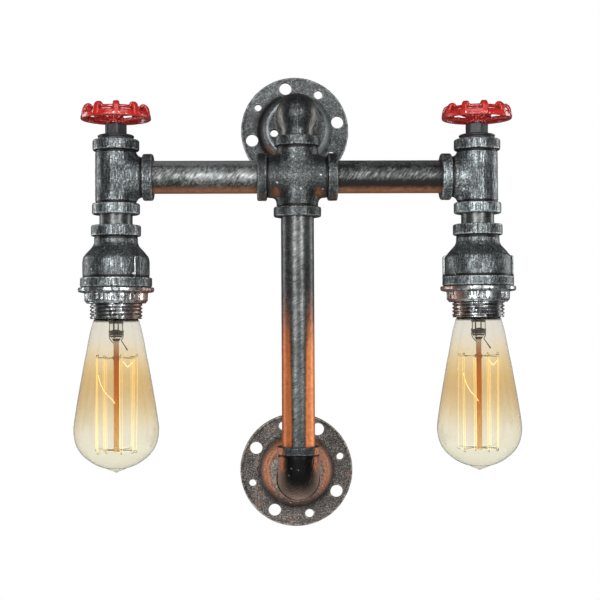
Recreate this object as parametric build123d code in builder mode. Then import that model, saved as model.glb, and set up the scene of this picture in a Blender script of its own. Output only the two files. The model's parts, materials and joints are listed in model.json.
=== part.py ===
from build123d import *
import os
from math import cos, sin, radians, pi, sqrt

# Twin industrial pipe wall light.
# Millimetres. +Z up, +Y into the wall, +X to the viewer's right.
# Origin: centre of the upper wall flange's back face, on the wall plane.

os.makedirs("parts", exist_ok=True)

# ---------------------------------------------------------------- sizes
wall_to_axis = 88.0          # wall plane to the plane of the pipe axes
arm_z = -47.6                # height of the horizontal arm's axis
lower_z = -275.6             # height of the lower flange's axis
lamp_x = 135.75              # half the distance between the two lamp axes

pipe_r = 12.40               # outer radius of every tube and nipple
pipe_bore_r = 10.5
socket_r = 12.45             # threaded socket, drawn at the pipe's size
body_bore_r = 10.3           # water way inside the castings

flange_r = 45.5               # lower flange
upper_flange_scale = 0.963    # the upper flange is the smaller of the two
flange_t = 5.0
flange_h = 20.0              # wall to hub face
hub_base_r = 30.4
hub_top_r = 24.0
cavity_d = 11.0              # depth of the hollow behind the hub
bolt_circle_r = 37.0
upper_bolt_circle_r = 35.6
bolt_hole_r = 5.0            # four large holes
screw_hole_r = 3.5           # two middle holes
pilot_hole_r = 2.8           # two small holes
upper_hole_angle = 12.0      # first large hole, from +X towards +Z
lower_hole_angle = 61.5

elbow_r = 15.7
elbow_bend_r = 17.0
lower_elbow_face = 26.35     # elbow centre to face
upper_elbow_face = 28.0
street_r = 15.05
street_leg_r = 11.9
elbow_socket = 10.0

cross_face = 30.2            # cross centre to face
cross_body_r = 15.75
cross_collar_r = 18.0
cross_collar_t = 7.5
cross_socket = 11.0

tee_face = 28.0
tee_body_r = 15.45
tee_collar_r = 17.9
tee_collar_t = 8.4
tee_socket = 10.5

reducer_top = 36.1           # distances below the arm axis from here on
reducer_bottom = 82.5
holder_top = 60.0
holder_mouth = 106.0
holder_r = 19.7
thread_pitch = 2.7
ring_lip_r = 28.7
ring_lip_t = 3.9
ring_body_r = 23.6
ring_bottom = 94.4

wheel_r = 26.35
wheel_bottom = 43.2          # distances above the arm axis
wheel_hub_bottom = 40.3
wheel_top = 54.4
arch_count = 10
spoke_count = 5
stem_r = 3.0
stem_bore_r = 3.05
bonnet_top = 39.9
hex_flats = 15.4

bulb_tip = 78.5              # centre contact, below the arm axis
bulb_end = 220.5             # lowest point of the glass
cap_r = 13.15
socket_thread_r = 13.50

wire_r = 1.1
wire_off = 1.7               # each core's distance from the pipe axis
block_off = 4.0              # spacing of the two poles in the terminal block

axis_y = -wall_to_axis


def upright(x, z=arm_z):
    """Plane through a vertical axis: first axis outwards, second axis up."""
    return Plane(origin=(x, axis_y, z), x_dir=(1, 0, 0), z_dir=(0, -1, 0))


def vertical(x):
    return Axis((x, axis_y, 0), (0, 0, 1))


def down(points):
    """Profile points given as radius, distance below the arm axis."""
    return [(r, -d) for r, d in points]


# ---------------------------------------------------------------- wall flanges
def flange_profile(scale=1.0):
    """Section of a flange as radius, depth. The scale acts on the outer face only."""
    outer = [
        (flange_r - 0.7, 0.0), (flange_r, -0.8),
        (flange_r, -flange_t + 0.4), (flange_r - 0.7, -flange_t - 0.3),
        (flange_r - 1.9, -flange_t - 0.3), (flange_r - 2.4, -flange_t),
        (32.2, -flange_t), (hub_base_r + 0.3, -flange_t - 0.7),
        (29.3, -7.6), (28.4, -10.6), (27.6, -13.6), (26.6, -16.4),
        (25.4, -18.4), (hub_top_r, -19.6), (22.6, -flange_h),
    ]
    return [(27.0, 0.0)] + [(r * scale, y) for r, y in outer] + [
        (socket_r, -flange_h), (socket_r, -cavity_d),
        (20.0, -cavity_d), (23.4, -8.2), (25.8, -4.0),
    ]


with BuildPart() as upper_flange:
    with BuildSketch(Plane.XY):
        with BuildLine():
            Polyline(*flange_profile(upper_flange_scale), close=True)
        make_face()
    revolve(axis=Axis.Y)
    with BuildSketch(Plane.XZ.offset(-1)):
        with PolarLocations(upper_bolt_circle_r, 4, start_angle=upper_hole_angle):
            Circle(bolt_hole_r)
        with PolarLocations(upper_bolt_circle_r, 2, start_angle=upper_hole_angle + 45):
            Circle(screw_hole_r)
        with PolarLocations(upper_bolt_circle_r, 2, start_angle=upper_hole_angle + 135):
            Circle(pilot_hole_r)
    extrude(amount=8, mode=Mode.SUBTRACT)
    # spare cable hole through the hub face
    with BuildSketch(Plane.XZ.offset(cavity_d - 1)):
        with PolarLocations(17.2, 1, start_angle=192):
            Circle(3.25)
    extrude(amount=12, mode=Mode.SUBTRACT)
    # tapped hole for the earth screw, from inside the hollow
    with BuildSketch(Plane.XZ.offset(cavity_d - 1)):
        with Locations((16.6, 0)):
            Circle(2.05)
    extrude(amount=6.5, mode=Mode.SUBTRACT)
upper_flange.part.label = "upper_wall_flange"
export_step(upper_flange.part, "parts/upper_wall_flange.step")

with BuildPart() as lower_flange:
    with BuildSketch(Plane.XY.offset(lower_z)):
        with BuildLine():
            Polyline(*flange_profile(), close=True)
        make_face()
    revolve(axis=Axis((0, 0, lower_z), (0, 1, 0)))
    with BuildSketch(Plane(origin=(0, 1, lower_z), x_dir=(1, 0, 0), z_dir=(0, -1, 0))):
        with PolarLocations(bolt_circle_r, 4, start_angle=lower_hole_angle):
            Circle(bolt_hole_r)
        with PolarLocations(bolt_circle_r, 2, start_angle=lower_hole_angle + 45):
            Circle(screw_hole_r)
        with PolarLocations(bolt_circle_r, 2, start_angle=lower_hole_angle + 135):
            Circle(pilot_hole_r)
    extrude(amount=8, mode=Mode.SUBTRACT)
lower_flange.part.label = "lower_wall_flange"
export_step(lower_flange.part, "parts/lower_wall_flange.step")

# ---------------------------------------------------------------- flange nipples
upper_seat = upper_elbow_face - elbow_socket
with BuildPart() as upper_nipple:
    with BuildSketch(Plane.XZ.offset(cavity_d + 0.3)):
        Circle(pipe_r)
        Circle(pipe_bore_r, mode=Mode.SUBTRACT)
    extrude(amount=wall_to_axis - upper_seat - cavity_d - 0.3)
upper_nipple.part.label = "upper_flange_nipple"
export_step(upper_nipple.part, "parts/upper_flange_nipple.step")

lower_seat = lower_elbow_face - elbow_socket
with BuildPart() as lower_nipple:
    with BuildSketch(Plane(origin=(0, -cavity_d - 0.3, lower_z), x_dir=(1, 0, 0), z_dir=(0, -1, 0))):
        Circle(pipe_r)
        Circle(pipe_bore_r, mode=Mode.SUBTRACT)
    extrude(amount=wall_to_axis - lower_seat - cavity_d - 0.3)
lower_nipple.part.label = "lower_flange_nipple"
export_step(lower_nipple.part, "parts/lower_flange_nipple.step")

# ---------------------------------------------------------------- upper street elbow
# socket towards the wall, male leg screwed down into the cross
leg_end = arm_z + cross_face - cross_socket
with BuildPart() as street_elbow:
    with BuildSketch(Plane.XZ.offset(wall_to_axis - upper_elbow_face)):
        Circle(street_r)
    extrude(amount=upper_elbow_face)
    with Locations((0, axis_y, 0)):
        Sphere(street_r)
    with BuildSketch(Plane.XZ.offset(wall_to_axis - upper_elbow_face)):
        Circle(17.0)
    extrude(amount=8.0)
    with BuildSketch(Plane.XY):
        with Locations((0, axis_y)):
            Circle(street_leg_r)
    extrude(amount=arm_z + cross_face + 0.6)
    with BuildSketch(Plane.XY.offset(arm_z + cross_face + 0.6)):
        with Locations((0, axis_y)):
            Circle(street_leg_r)
    extrude(amount=-0.5)
    with BuildSketch(Plane.XY.offset(arm_z + cross_face)):
        with Locations((0, axis_y)):
            Circle(pipe_r)
    extrude(amount=-cross_socket)
    with BuildSketch(Plane.XY.offset(arm_z + cross_face)):
        with Locations((0, axis_y)):
            Circle(street_leg_r)
    extrude(amount=0.4)
    # hollow way and socket
    with BuildLine():
        FilletPolyline(
            (0, axis_y + upper_elbow_face + 1, 0), (0, axis_y, 0), (0, axis_y, leg_end - 1), radius=12
        )
    with BuildSketch(Plane.XZ.offset(wall_to_axis - upper_elbow_face - 1)):
        Circle(9.3)
    sweep(mode=Mode.SUBTRACT)
    with BuildSketch(Plane.XZ.offset(wall_to_axis - upper_elbow_face)):
        Circle(socket_r)
    extrude(amount=elbow_socket, mode=Mode.SUBTRACT)
street_elbow.part.label = "upper_street_elbow"
export_step(street_elbow.part, "parts/upper_street_elbow.step")

# ---------------------------------------------------------------- lower elbow
with BuildPart() as lower_elbow:
    with BuildLine():
        FilletPolyline(
            (0, axis_y, lower_z + lower_elbow_face), (0, axis_y, lower_z),
            (0, axis_y + lower_elbow_face, lower_z), radius=elbow_bend_r
        )
    with BuildSketch(Plane(origin=(0, axis_y, lower_z + lower_elbow_face), z_dir=(0, 0, -1))):
        Circle(elbow_r)
    sweep()
    with BuildSketch(Plane.XY.offset(lower_z + lower_elbow_face)):
        with Locations((0, axis_y)):
            Circle(16.6)
    extrude(amount=-6.2)
    with BuildSketch(Plane(origin=(0, axis_y + lower_elbow_face, lower_z), x_dir=(1, 0, 0), z_dir=(0, -1, 0))):
        Circle(17.0)
    extrude(amount=7.0)
    with BuildLine():
        FilletPolyline(
            (0, axis_y, lower_z + lower_elbow_face + 1), (0, axis_y, lower_z),
            (0, axis_y + lower_elbow_face + 1, lower_z), radius=14
        )
    with BuildSketch(Plane(origin=(0, axis_y, lower_z + lower_elbow_face + 1), z_dir=(0, 0, -1))):
        Circle(body_bore_r)
    sweep(mode=Mode.SUBTRACT)
    with BuildSketch(Plane.XY.offset(lower_z + lower_elbow_face)):
        with Locations((0, axis_y)):
            Circle(socket_r)
    extrude(amount=-elbow_socket, mode=Mode.SUBTRACT)
    with BuildSketch(Plane(origin=(0, axis_y + lower_elbow_face, lower_z), x_dir=(1, 0, 0), z_dir=(0, -1, 0))):
        Circle(socket_r)
    extrude(amount=elbow_socket, mode=Mode.SUBTRACT)
lower_elbow.part.label = "lower_elbow"
export_step(lower_elbow.part, "parts/lower_elbow.step")

# ---------------------------------------------------------------- cross
with BuildPart() as cross:
    with BuildSketch(Plane.XY.offset(arm_z - cross_face)):
        with Locations((0, axis_y)):
            Circle(cross_body_r)
    extrude(amount=2 * cross_face)
    with BuildSketch(Plane.YZ.offset(-cross_face)):
        with Locations((axis_y, arm_z)):
            Circle(cross_body_r)
    extrude(amount=2 * cross_face)
    with BuildSketch(Plane.XY.offset(arm_z - cross_face), Plane.XY.offset(arm_z + cross_face - cross_collar_t)):
        with Locations((0, axis_y)):
            Circle(cross_collar_r)
    extrude(amount=cross_collar_t)
    with BuildSketch(Plane.YZ.offset(-cross_face), Plane.YZ.offset(cross_face - cross_collar_t)):
        with Locations((axis_y, arm_z)):
            Circle(cross_collar_r)
    extrude(amount=cross_collar_t)
    rims = edges().filter_by(GeomType.CIRCLE).filter_by(lambda e: abs(e.radius - cross_collar_r) < 0.01)
    fillet(rims, radius=0.8)
    with BuildSketch(Plane.XY.offset(arm_z - cross_face)):
        with Locations((0, axis_y)):
            Circle(body_bore_r)
    extrude(amount=2 * cross_face, mode=Mode.SUBTRACT)
    with BuildSketch(Plane.YZ.offset(-cross_face)):
        with Locations((axis_y, arm_z)):
            Circle(body_bore_r)
    extrude(amount=2 * cross_face, mode=Mode.SUBTRACT)
    with BuildSketch(Plane.XY.offset(arm_z - cross_face), Plane.XY.offset(arm_z + cross_face - cross_socket)):
        with Locations((0, axis_y)):
            Circle(socket_r)
    extrude(amount=cross_socket, mode=Mode.SUBTRACT)
    with BuildSketch(Plane.YZ.offset(-cross_face), Plane.YZ.offset(cross_face - cross_socket)):
        with Locations((axis_y, arm_z)):
            Circle(socket_r)
    extrude(amount=cross_socket, mode=Mode.SUBTRACT)
cross.part.label = "pipe_cross"
export_step(cross.part, "parts/pipe_cross.step")

# ---------------------------------------------------------------- riser pipe
riser_top = arm_z - cross_face + cross_socket
riser_bottom = lower_z + lower_elbow_face - elbow_socket
with BuildPart() as riser:
    with BuildSketch(Plane.XY.offset(riser_bottom)):
        with Locations((0, axis_y)):
            Circle(pipe_r)
            Circle(pipe_bore_r, mode=Mode.SUBTRACT)
    extrude(amount=riser_top - riser_bottom)
riser.part.label = "riser_pipe"
export_step(riser.part, "parts/riser_pipe.step")


# ---------------------------------------------------------------- bulb outline
# radius of the glass against distance below the arm axis
bulb_outline = [
    (12.55, 97.0), (12.6, 102.9), (13.6, 104.3), (15.51, 106.6), (17.42, 109.5), (18.97, 114.0),
    (20.87, 123.0), (22.48, 132.0), (24.32, 141.0), (25.88, 150.0), (27.49, 159.0),
    (29.0, 168.0), (30.36, 177.0), (31.38, 184.0), (31.72, 189.0), (31.23, 194.0),
    (29.87, 199.5), (27.54, 204.0), (23.74, 208.5), (17.51, 213.2), (8.27, 217.6),
    (2.82, 218.9), (0.0, 219.6),
]
glass_t = 0.8

# ---------------------------------------------------------------- one lamp on each arm
for side, sx, wheel_turn in (("left", -1, 7.0), ("right", 1, 5.5)):
    x0 = sx * lamp_x

    # arm pipe from the cross to the tee
    arm_in = cross_face - cross_socket
    arm_out = lamp_x - tee_face + tee_socket
    with BuildPart() as arm:
        with BuildSketch(Plane(origin=(sx * arm_in, axis_y, arm_z), x_dir=(0, 1, 0), z_dir=(sx, 0, 0))):
            Circle(pipe_r)
            Circle(pipe_bore_r, mode=Mode.SUBTRACT)
        extrude(amount=arm_out - arm_in)
    arm.part.label = side + "_arm_pipe"
    export_step(arm.part, "parts/" + side + "_arm_pipe.step")

    # tee: run vertical, branch towards the cross
    branch = Plane(origin=(x0, axis_y, arm_z), x_dir=(0, 1, 0), z_dir=(-sx, 0, 0))
    with BuildPart() as tee:
        with BuildSketch(Plane.XY.offset(arm_z - tee_face)):
            with Locations((x0, axis_y)):
                Circle(tee_body_r)
        extrude(amount=2 * tee_face)
        with BuildSketch(branch):
            Circle(tee_body_r)
        extrude(amount=tee_face)
        with BuildSketch(Plane.XY.offset(arm_z - tee_face), Plane.XY.offset(arm_z + tee_face - tee_collar_t)):
            with Locations((x0, axis_y)):
                Circle(tee_collar_r)
        extrude(amount=tee_collar_t)
        with BuildSketch(branch.offset(tee_face - tee_collar_t)):
            Circle(tee_collar_r)
        extrude(amount=tee_collar_t)
        rims = edges().filter_by(GeomType.CIRCLE).filter_by(lambda e: abs(e.radius - tee_collar_r) < 0.01)
        fillet(rims, radius=0.8)
        with BuildSketch(Plane.XY.offset(arm_z - tee_face)):
            with Locations((x0, axis_y)):
                Circle(body_bore_r)
        extrude(amount=2 * tee_face, mode=Mode.SUBTRACT)
        with BuildSketch(branch):
            Circle(body_bore_r)
        extrude(amount=tee_face, mode=Mode.SUBTRACT)
        with BuildSketch(Plane.XY.offset(arm_z - tee_face), Plane.XY.offset(arm_z + tee_face - tee_socket)):
            with Locations((x0, axis_y)):
                Circle(socket_r)
        extrude(amount=tee_socket, mode=Mode.SUBTRACT)
        with BuildSketch(branch.offset(tee_face - tee_socket)):
            Circle(socket_r)
        extrude(amount=tee_socket, mode=Mode.SUBTRACT)
    tee.part.label = side + "_tee"
    export_step(tee.part, "parts/" + side + "_tee.step")

    # bonnet: threaded plug, round collar and hexagon, bored for the stem
    with BuildPart() as bonnet:
        with BuildSketch(upright(x0)):
            with BuildLine():
                Polyline(
                    (stem_bore_r, tee_face - tee_socket), (pipe_r - 0.6, tee_face - tee_socket),
                    (pipe_r, tee_face - tee_socket + 0.6), (pipe_r, tee_face),
                    (13.3, tee_face), (13.7, tee_face + 0.6), (13.7, tee_face + 1.7),
                    (12.8, tee_face + 3.3), (11.2, tee_face + 4.9), (stem_bore_r, tee_face + 4.9),
                    close=True
                )
            make_face()
        revolve(axis=vertical(x0))
        with BuildSketch(Plane.XY.offset(arm_z + tee_face + 4.0)):
            with Locations((x0, axis_y)):
                RegularPolygon(hex_flats / 2, 6, major_radius=False, rotation=45)
        extrude(amount=bonnet_top - tee_face - 4.0)
        with BuildSketch(Plane.XY.offset(arm_z + tee_face)):
            with Locations((x0, axis_y)):
                Circle(stem_bore_r)
        extrude(amount=bonnet_top - tee_face, mode=Mode.SUBTRACT)
        # seat for the stem's head
        with BuildSketch(Plane.XY.offset(arm_z + tee_face - tee_socket)):
            with Locations((x0, axis_y)):
                Circle(6.3)
        extrude(amount=4.0, mode=Mode.SUBTRACT)
    bonnet.part.label = side + "_bonnet"
    export_step(bonnet.part, "parts/" + side + "_bonnet.step")

    # stem: headed spindle that turns in the bonnet and carries the wheel
    with BuildPart() as stem:
        with BuildSketch(upright(x0)):
            with BuildLine():
                Polyline(
                    (0, 18.4), (5.2, 18.4), (5.8, 19.0), (5.8, 21.2), (stem_r, 21.2),
                    (stem_r, 40.2), (2.5, 40.2), (2.5, 53.6), (2.1, 54.0), (0, 54.0), close=True
                )
            make_face()
        revolve(axis=vertical(x0))
    stem.part.label = side + "_stem"
    export_step(stem.part, "parts/" + side + "_stem.step")

    # handwheel: lower band, upper ring, open arches between them, spokes and hub
    with BuildPart() as wheel:
        with BuildSketch(upright(x0)):
            with BuildLine():
                Polyline(
                    (2.55, wheel_hub_bottom), (7.2, wheel_hub_bottom), (7.5, wheel_hub_bottom + 0.6),
                    (6.4, 46.5), (6.0, 48.6), (5.4, 49.2), (2.55, 49.2), close=True
                )
            make_face()
            with BuildLine():
                Polyline(
                    (23.5, wheel_bottom), (25.8, wheel_bottom), (wheel_r, wheel_bottom + 0.7),
                    (26.0, 45.4), (25.4, 47.6), (24.8, 48.2), (23.9, 48.2), (23.5, 47.6),
                    (23.3, 45.4), (23.0, 43.7), close=True
                )
            make_face()
            with BuildLine():
                Polyline(
                    (18.2, 50.0), (18.8, 49.4), (20.4, 49.4), (21.0, 50.0), (21.0, 51.5),
                    (20.4, 52.1), (18.8, 52.1), (18.2, 51.5), close=True
                )
            make_face()
        revolve(axis=vertical(x0))
        for k in range(arch_count):
            a = radians(wheel_turn + 360.0 * k / arch_count)
            radial = Plane(origin=(x0, axis_y, arm_z), x_dir=(sin(a), -cos(a), 0), z_dir=(-cos(a), -sin(a), 0))
            with BuildSketch(radial):
                with BuildLine():
                    Polyline(
                        (18.5, 50.6), (18.8, 52.4), (19.6, 53.6), (20.8, wheel_top), (22.2, wheel_top),
                        (23.8, 53.6), (24.9, 51.9), (25.7, 49.4), (26.1, 45.6), (23.7, 45.4),
                        (23.5, 48.6), (23.0, 50.4), (22.1, 51.6), (21.3, 51.8), (20.8, 50.6), close=True
                    )
                make_face()
            extrude(amount=2.1, both=True)
        for k in range(spoke_count):
            a = radians(wheel_turn + 18 + 360.0 * k / spoke_count)
            radial = Plane(origin=(x0, axis_y, arm_z), x_dir=(sin(a), -cos(a), 0), z_dir=(-cos(a), -sin(a), 0))
            with BuildSketch(radial):
                with BuildLine():
                    Polyline(
                        (5.0, 42.2), (9.0, 42.6), (16.0, 45.0), (23.6, 45.2), (23.6, 47.6),
                        (16.0, 47.6), (9.0, 46.2), (5.0, 46.6), close=True
                    )
                make_face()
            extrude(amount=1.7, both=True)
    wheel.part.label = side + "_handwheel"
    export_step(wheel.part, "parts/" + side + "_handwheel.step")

    # nut on the stem above the wheel's hub
    with BuildPart() as wheel_nut:
        with BuildSketch(Plane.XY.offset(arm_z + 49.2)):
            with Locations((x0, axis_y)):
                RegularPolygon(4.0, 6, major_radius=False)
                Circle(2.55, mode=Mode.SUBTRACT)
        extrude(amount=3.4)
    wheel_nut.part.label = side + "_wheel_nut"
    export_step(wheel_nut.part, "parts/" + side + "_wheel_nut.step")

    # nipple between the tee and the reducer
    with BuildPart() as tee_nipple:
        with BuildSketch(Plane.XY.offset(arm_z - tee_face + tee_socket)):
            with Locations((x0, axis_y)):
                Circle(pipe_r)
                Circle(pipe_bore_r, mode=Mode.SUBTRACT)
        extrude(amount=-(reducer_top + 8.0 - tee_face + tee_socket))
    tee_nipple.part.label = side + "_tee_nipple"
    export_step(tee_nipple.part, "parts/" + side + "_tee_nipple.step")

    # reducing socket: small collar, neck, flare and ribbed bell
    with BuildPart() as reducer:
        with BuildSketch(upright(x0)):
            with BuildLine():
                Polyline(
                    *down([
                        (socket_r, 36.1), (17.9, 36.1), (18.6, 36.8), (18.6, 43.4), (17.9, 44.1),
                        (16.5, 44.4), (16.2, 45.0), (16.3, 49.0), (17.0, 51.2), (19.0, 54.0),
                        (22.0, 57.4), (24.1, 60.6), (25.0, 63.6), (25.0, 74.4), (26.2, 74.8),
                        (26.8, 75.4), (26.8, 81.8), (26.1, 82.5), (21.6, 82.5), (21.3, 82.2),
                        (21.3, 66.0), (body_bore_r, 53.0), (body_bore_r, 46.1), (socket_r, 46.1),
                    ]),
                    close=True
                )
            make_face()
        revolve(axis=vertical(x0))
        for a in (43.0, 223.0) if side == "left" else (90.0, 270.0):
            ray = radians(a)
            rib = Plane(
                origin=(x0, axis_y, arm_z), x_dir=(sin(ray), -cos(ray), 0), z_dir=(-cos(ray), -sin(ray), 0)
            )
            with BuildSketch(rib):
                with BuildLine():
                    Polyline(*down([(23.4, 60.6), (25.2, 61.6), (26.7, 63.8), (26.7, 75.6), (23.4, 75.6)]), close=True)
                make_face()
            extrude(amount=2.6, both=True)
    reducer.part.label = side + "_reducer"
    export_step(reducer.part, "parts/" + side + "_reducer.step")

    # lampholder shell, domed at the top and threaded outside at the mouth
    crest = []
    d = ring_bottom + 0.2
    while d + thread_pitch < holder_mouth:
        crest += [
            (holder_r - 0.55, d + 0.3), (holder_r, d + 0.9), (holder_r, d + 1.7),
            (holder_r - 0.55, d + 2.4),
        ]
        d += thread_pitch
    with BuildPart() as holder_shell:
        with BuildSketch(upright(x0)):
            with BuildLine():
                Polyline(
                    *down(
                        [
                            (5.05, 60.0), (7.6, 60.0), (8.2, 60.6), (8.2, 61.6), (12.0, 63.2), (15.2, 66.2),
                            (17.2, 70.0), (18.2, 72.0), (holder_r, 72.6), (holder_r, ring_bottom),
                        ]
                        + crest
                        + [
                            (holder_r - 0.5, holder_mouth - 0.5), (holder_r - 0.9, holder_mouth),
                            (17.5, holder_mouth), (17.3, holder_mouth - 0.3), (17.3, 72.6), (15.6, 70.0),
                            (13.8, 67.2), (11.0, 65.2), (8.2, 64.4), (8.2, 66.0), (5.05, 66.0),
                        ]
                    ),
                    close=True
                )
            make_face()
        revolve(axis=vertical(x0))
    holder_shell.part.label = side + "_holder_shell"
    export_step(holder_shell.part, "parts/" + side + "_holder_shell.step")

    # ceramic insert of the lampholder
    with BuildPart() as insulator:
        with BuildSketch(upright(x0)):
            with BuildLine():
                Polyline(
                    *down([
                        (0, 68.4), (12.6, 68.4), (15.2, 71.2), (17.2, 74.0), (17.2, 100.5), (16.7, 101.0),
                        (14.3, 101.0), (14.3, 80.0), (7.0, 80.0), (7.0, 77.2), (6.4, 76.6), (0, 76.6),
                    ]),
                    close=True
                )
            make_face()
        revolve(axis=vertical(x0))
        # two wire holes from above and two screw holes from the sides
        with BuildSketch(Plane.XY.offset(arm_z - 68.4)):
            with Locations((x0, axis_y - wire_off), (x0, axis_y + wire_off)):
                Circle(wire_r + 0.05)
        extrude(amount=-5.1, mode=Mode.SUBTRACT)
        with BuildSketch(Plane(origin=(x0, axis_y + 20, arm_z - 72.0), x_dir=(1, 0, 0), z_dir=(0, -1, 0))):
            Circle(1.55)
        extrude(amount=20 - wire_off, mode=Mode.SUBTRACT)
        with BuildSketch(Plane(origin=(x0, axis_y - 20, arm_z - 72.0), x_dir=(1, 0, 0), z_dir=(0, 1, 0))):
            Circle(1.55)
        extrude(amount=20 - wire_off, mode=Mode.SUBTRACT)
    insulator.part.label = side + "_holder_insulator"
    export_step(insulator.part, "parts/" + side + "_holder_insulator.step")

    # brass screw shell that the bulb's cap goes into
    with BuildPart() as socket_thread:
        with BuildSketch(upright(x0)):
            with BuildLine():
                Polyline(
                    *down([
                        (socket_thread_r, 82.0), (socket_thread_r, 102.2), (14.5, 103.2), (14.8, 102.9),
                        (14.1, 102.0), (14.1, 80.1), (11.5, 80.1), (11.5, 80.6), (socket_thread_r, 80.6),
                    ]),
                    close=True
                )
            make_face()
        revolve(axis=vertical(x0))
    socket_thread.part.label = side + "_socket_thread"
    export_step(socket_thread.part, "parts/" + side + "_socket_thread.step")

    # centre contact at the bottom of the socket
    with BuildPart() as contact:
        with BuildSketch(upright(x0)):
            with BuildLine():
                Polyline(*down([(0, 76.6), (4.2, 76.6), (4.2, 77.2), (3.6, 77.8), (2.0, 78.1), (0, 78.1)]), close=True)
            make_face()
        revolve(axis=vertical(x0))
    contact.part.label = side + "_centre_contact"
    export_step(contact.part, "parts/" + side + "_centre_contact.step")

    # ring that clamps a shade against the reducer, notched for the fingers
    with BuildPart() as ring:
        with BuildSketch(upright(x0)):
            with BuildLine():
                Polyline(
                    *down([
                        (19.78, 82.5), (28.2, 82.5), (ring_lip_r, 83.2), (ring_lip_r, 85.4), (28.0, 86.2),
                        (24.4, 86.6), (ring_body_r, 87.2), (ring_body_r, 92.4), (22.6, 93.6),
                        (22.2, ring_bottom), (19.78, ring_bottom),
                    ]),
                    close=True
                )
            make_face()
        revolve(axis=vertical(x0))
        with BuildSketch(Plane.XY.offset(arm_z - 87.4)):
            with Locations((x0, axis_y)):
                for group in range(6):
                    with PolarLocations(ring_body_r + 0.25, 3, start_angle=60 * group + 0.5, angular_range=22, endpoint=True):
                        Circle(0.75)
        extrude(amount=-5.4, mode=Mode.SUBTRACT)
    ring.part.label = side + "_shade_ring"
    export_step(ring.part, "parts/" + side + "_shade_ring.step")

    # ------------------------------------------------------------ bulb
    with BuildPart() as glass:
        with BuildSketch(upright(x0)):
            with BuildLine():
                Spline(*down(bulb_outline))
                inner = [(r - glass_t, d) for r, d in bulb_outline[:-3]] + [(7.4, 216.9), (0.0, 218.2)]
                Line((bulb_outline[0][0], -bulb_outline[0][1]), (inner[0][0], -inner[0][1]))
                Spline(*down(inner))
                Line((0, -218.2), (0, -bulb_outline[-1][1]))
            make_face()
        revolve(axis=vertical(x0))
        with BuildSketch(upright(x0)):
            with BuildLine():
                Polyline(
                    *down([(0, 219.0), (1.9, 218.8), (1.7, 219.7), (1.0, 220.3), (0, bulb_end)]), close=True
                )
            make_face()
        revolve(axis=vertical(x0))
    glass.part.label = side + "_bulb_glass"
    export_step(glass.part, "parts/" + side + "_bulb_glass.step")

    with BuildPart() as cap:
        with BuildSketch(upright(x0)):
            with BuildLine():
                Polyline(
                    *down([
                        (12.7, 102.6), (cap_r, 102.6), (cap_r, 84.0), (11.4, 82.2), (8.0, 82.2),
                        (8.0, 82.8), (11.1, 82.8), (12.7, 84.4),
                    ]),
                    close=True
                )
            make_face()
        revolve(axis=vertical(x0))
    cap.part.label = side + "_bulb_cap"
    export_step(cap.part, "parts/" + side + "_bulb_cap.step")

    with BuildPart() as cap_insulator:
        with BuildSketch(upright(x0)):
            with BuildLine():
                Polyline(
                    *down([
                        (0, 80.45), (5.0, 80.45), (5.0, 79.9), (5.8, 79.9), (11.0, 82.15),
                        (7.95, 82.15), (7.95, 82.9), (0, 82.9),
                    ]),
                    close=True
                )
            make_face()
        revolve(axis=vertical(x0))
    cap_insulator.part.label = side + "_bulb_cap_insulator"
    export_step(cap_insulator.part, "parts/" + side + "_bulb_cap_insulator.step")

    with BuildPart() as tip:
        with BuildSketch(upright(x0)):
            with BuildLine():
                Polyline(*down([(0, bulb_tip), (2.5, 78.65), (4.2, 79.3), (4.9, 80.4), (0, 80.4)]), close=True)
            make_face()
        revolve(axis=vertical(x0))
    tip.part.label = side + "_bulb_tip_contact"
    export_step(tip.part, "parts/" + side + "_bulb_tip_contact.step")

    # glass mount that carries the lead wires and the centre rod
    with BuildPart() as mount:
        with BuildSketch(upright(x0)):
            with BuildLine():
                Polyline(
                    *down([
                        (0, 99.0), (10.0, 99.0), (10.2, 99.8), (8.0, 103.0), (6.2, 106.4), (5.4, 109.5),
                        (5.2, 116.0), (4.6, 119.0), (3.6, 122.2), (2.6, 123.8), (2.06, 124.6),
                        (2.06, 202.6), (2.8, 203.4), (2.8, 204.6), (2.0, 205.4), (0, 205.6),
                    ]),
                    close=True
                )
            make_face()
        revolve(axis=vertical(x0))
    mount.part.label = side + "_bulb_mount"
    export_step(mount.part, "parts/" + side + "_bulb_mount.step")

    # two crowns of hook wires on the centre rod
    with BuildPart() as supports:
        for d in (135.0, 201.0):
            with BuildSketch(Plane.XY.offset(arm_z - d - 0.5)):
                with Locations((x0, axis_y)):
                    Circle(2.7)
                    Circle(2.12, mode=Mode.SUBTRACT)
            extrude(amount=1.0)
        for k in range(7):
            for d, shift in ((135.0, 0.0), (201.0, 0.5)):
                a = 2 * pi * (k + shift) / 7
                with BuildSketch(Plane(
                    origin=(x0 + 2.3 * cos(a), axis_y + 2.3 * sin(a), arm_z - d), z_dir=(cos(a), sin(a), 0)
                )):
                    Circle(0.25)
                extrude(amount=11.3)
    supports.part.label = side + "_bulb_supports"
    export_step(supports.part, "parts/" + side + "_bulb_supports.step")

    # squirrel-cage filament, one zigzag wire round the two crowns
    cage = []
    for k in range(7):
        a = 2 * pi * k / 7
        b = 2 * pi * (k + 0.5) / 7
        cage.append((x0 + 14.1 * cos(a), axis_y + 14.1 * sin(a), arm_z - 135.6))
        cage.append((x0 + 14.1 * cos(b), axis_y + 14.1 * sin(b), arm_z - 200.4))
    with BuildPart() as filament:
        for p, q in zip(cage[:-1], cage[1:]):
            run = (Vector(*q) - Vector(*p))
            with BuildSketch(Plane(origin=p, z_dir=run)):
                Circle(0.2)
            extrude(amount=run.length)
        with Locations(*cage):
            Sphere(0.24)
    filament.part.label = side + "_bulb_filament"
    export_step(filament.part, "parts/" + side + "_bulb_filament.step")

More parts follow.
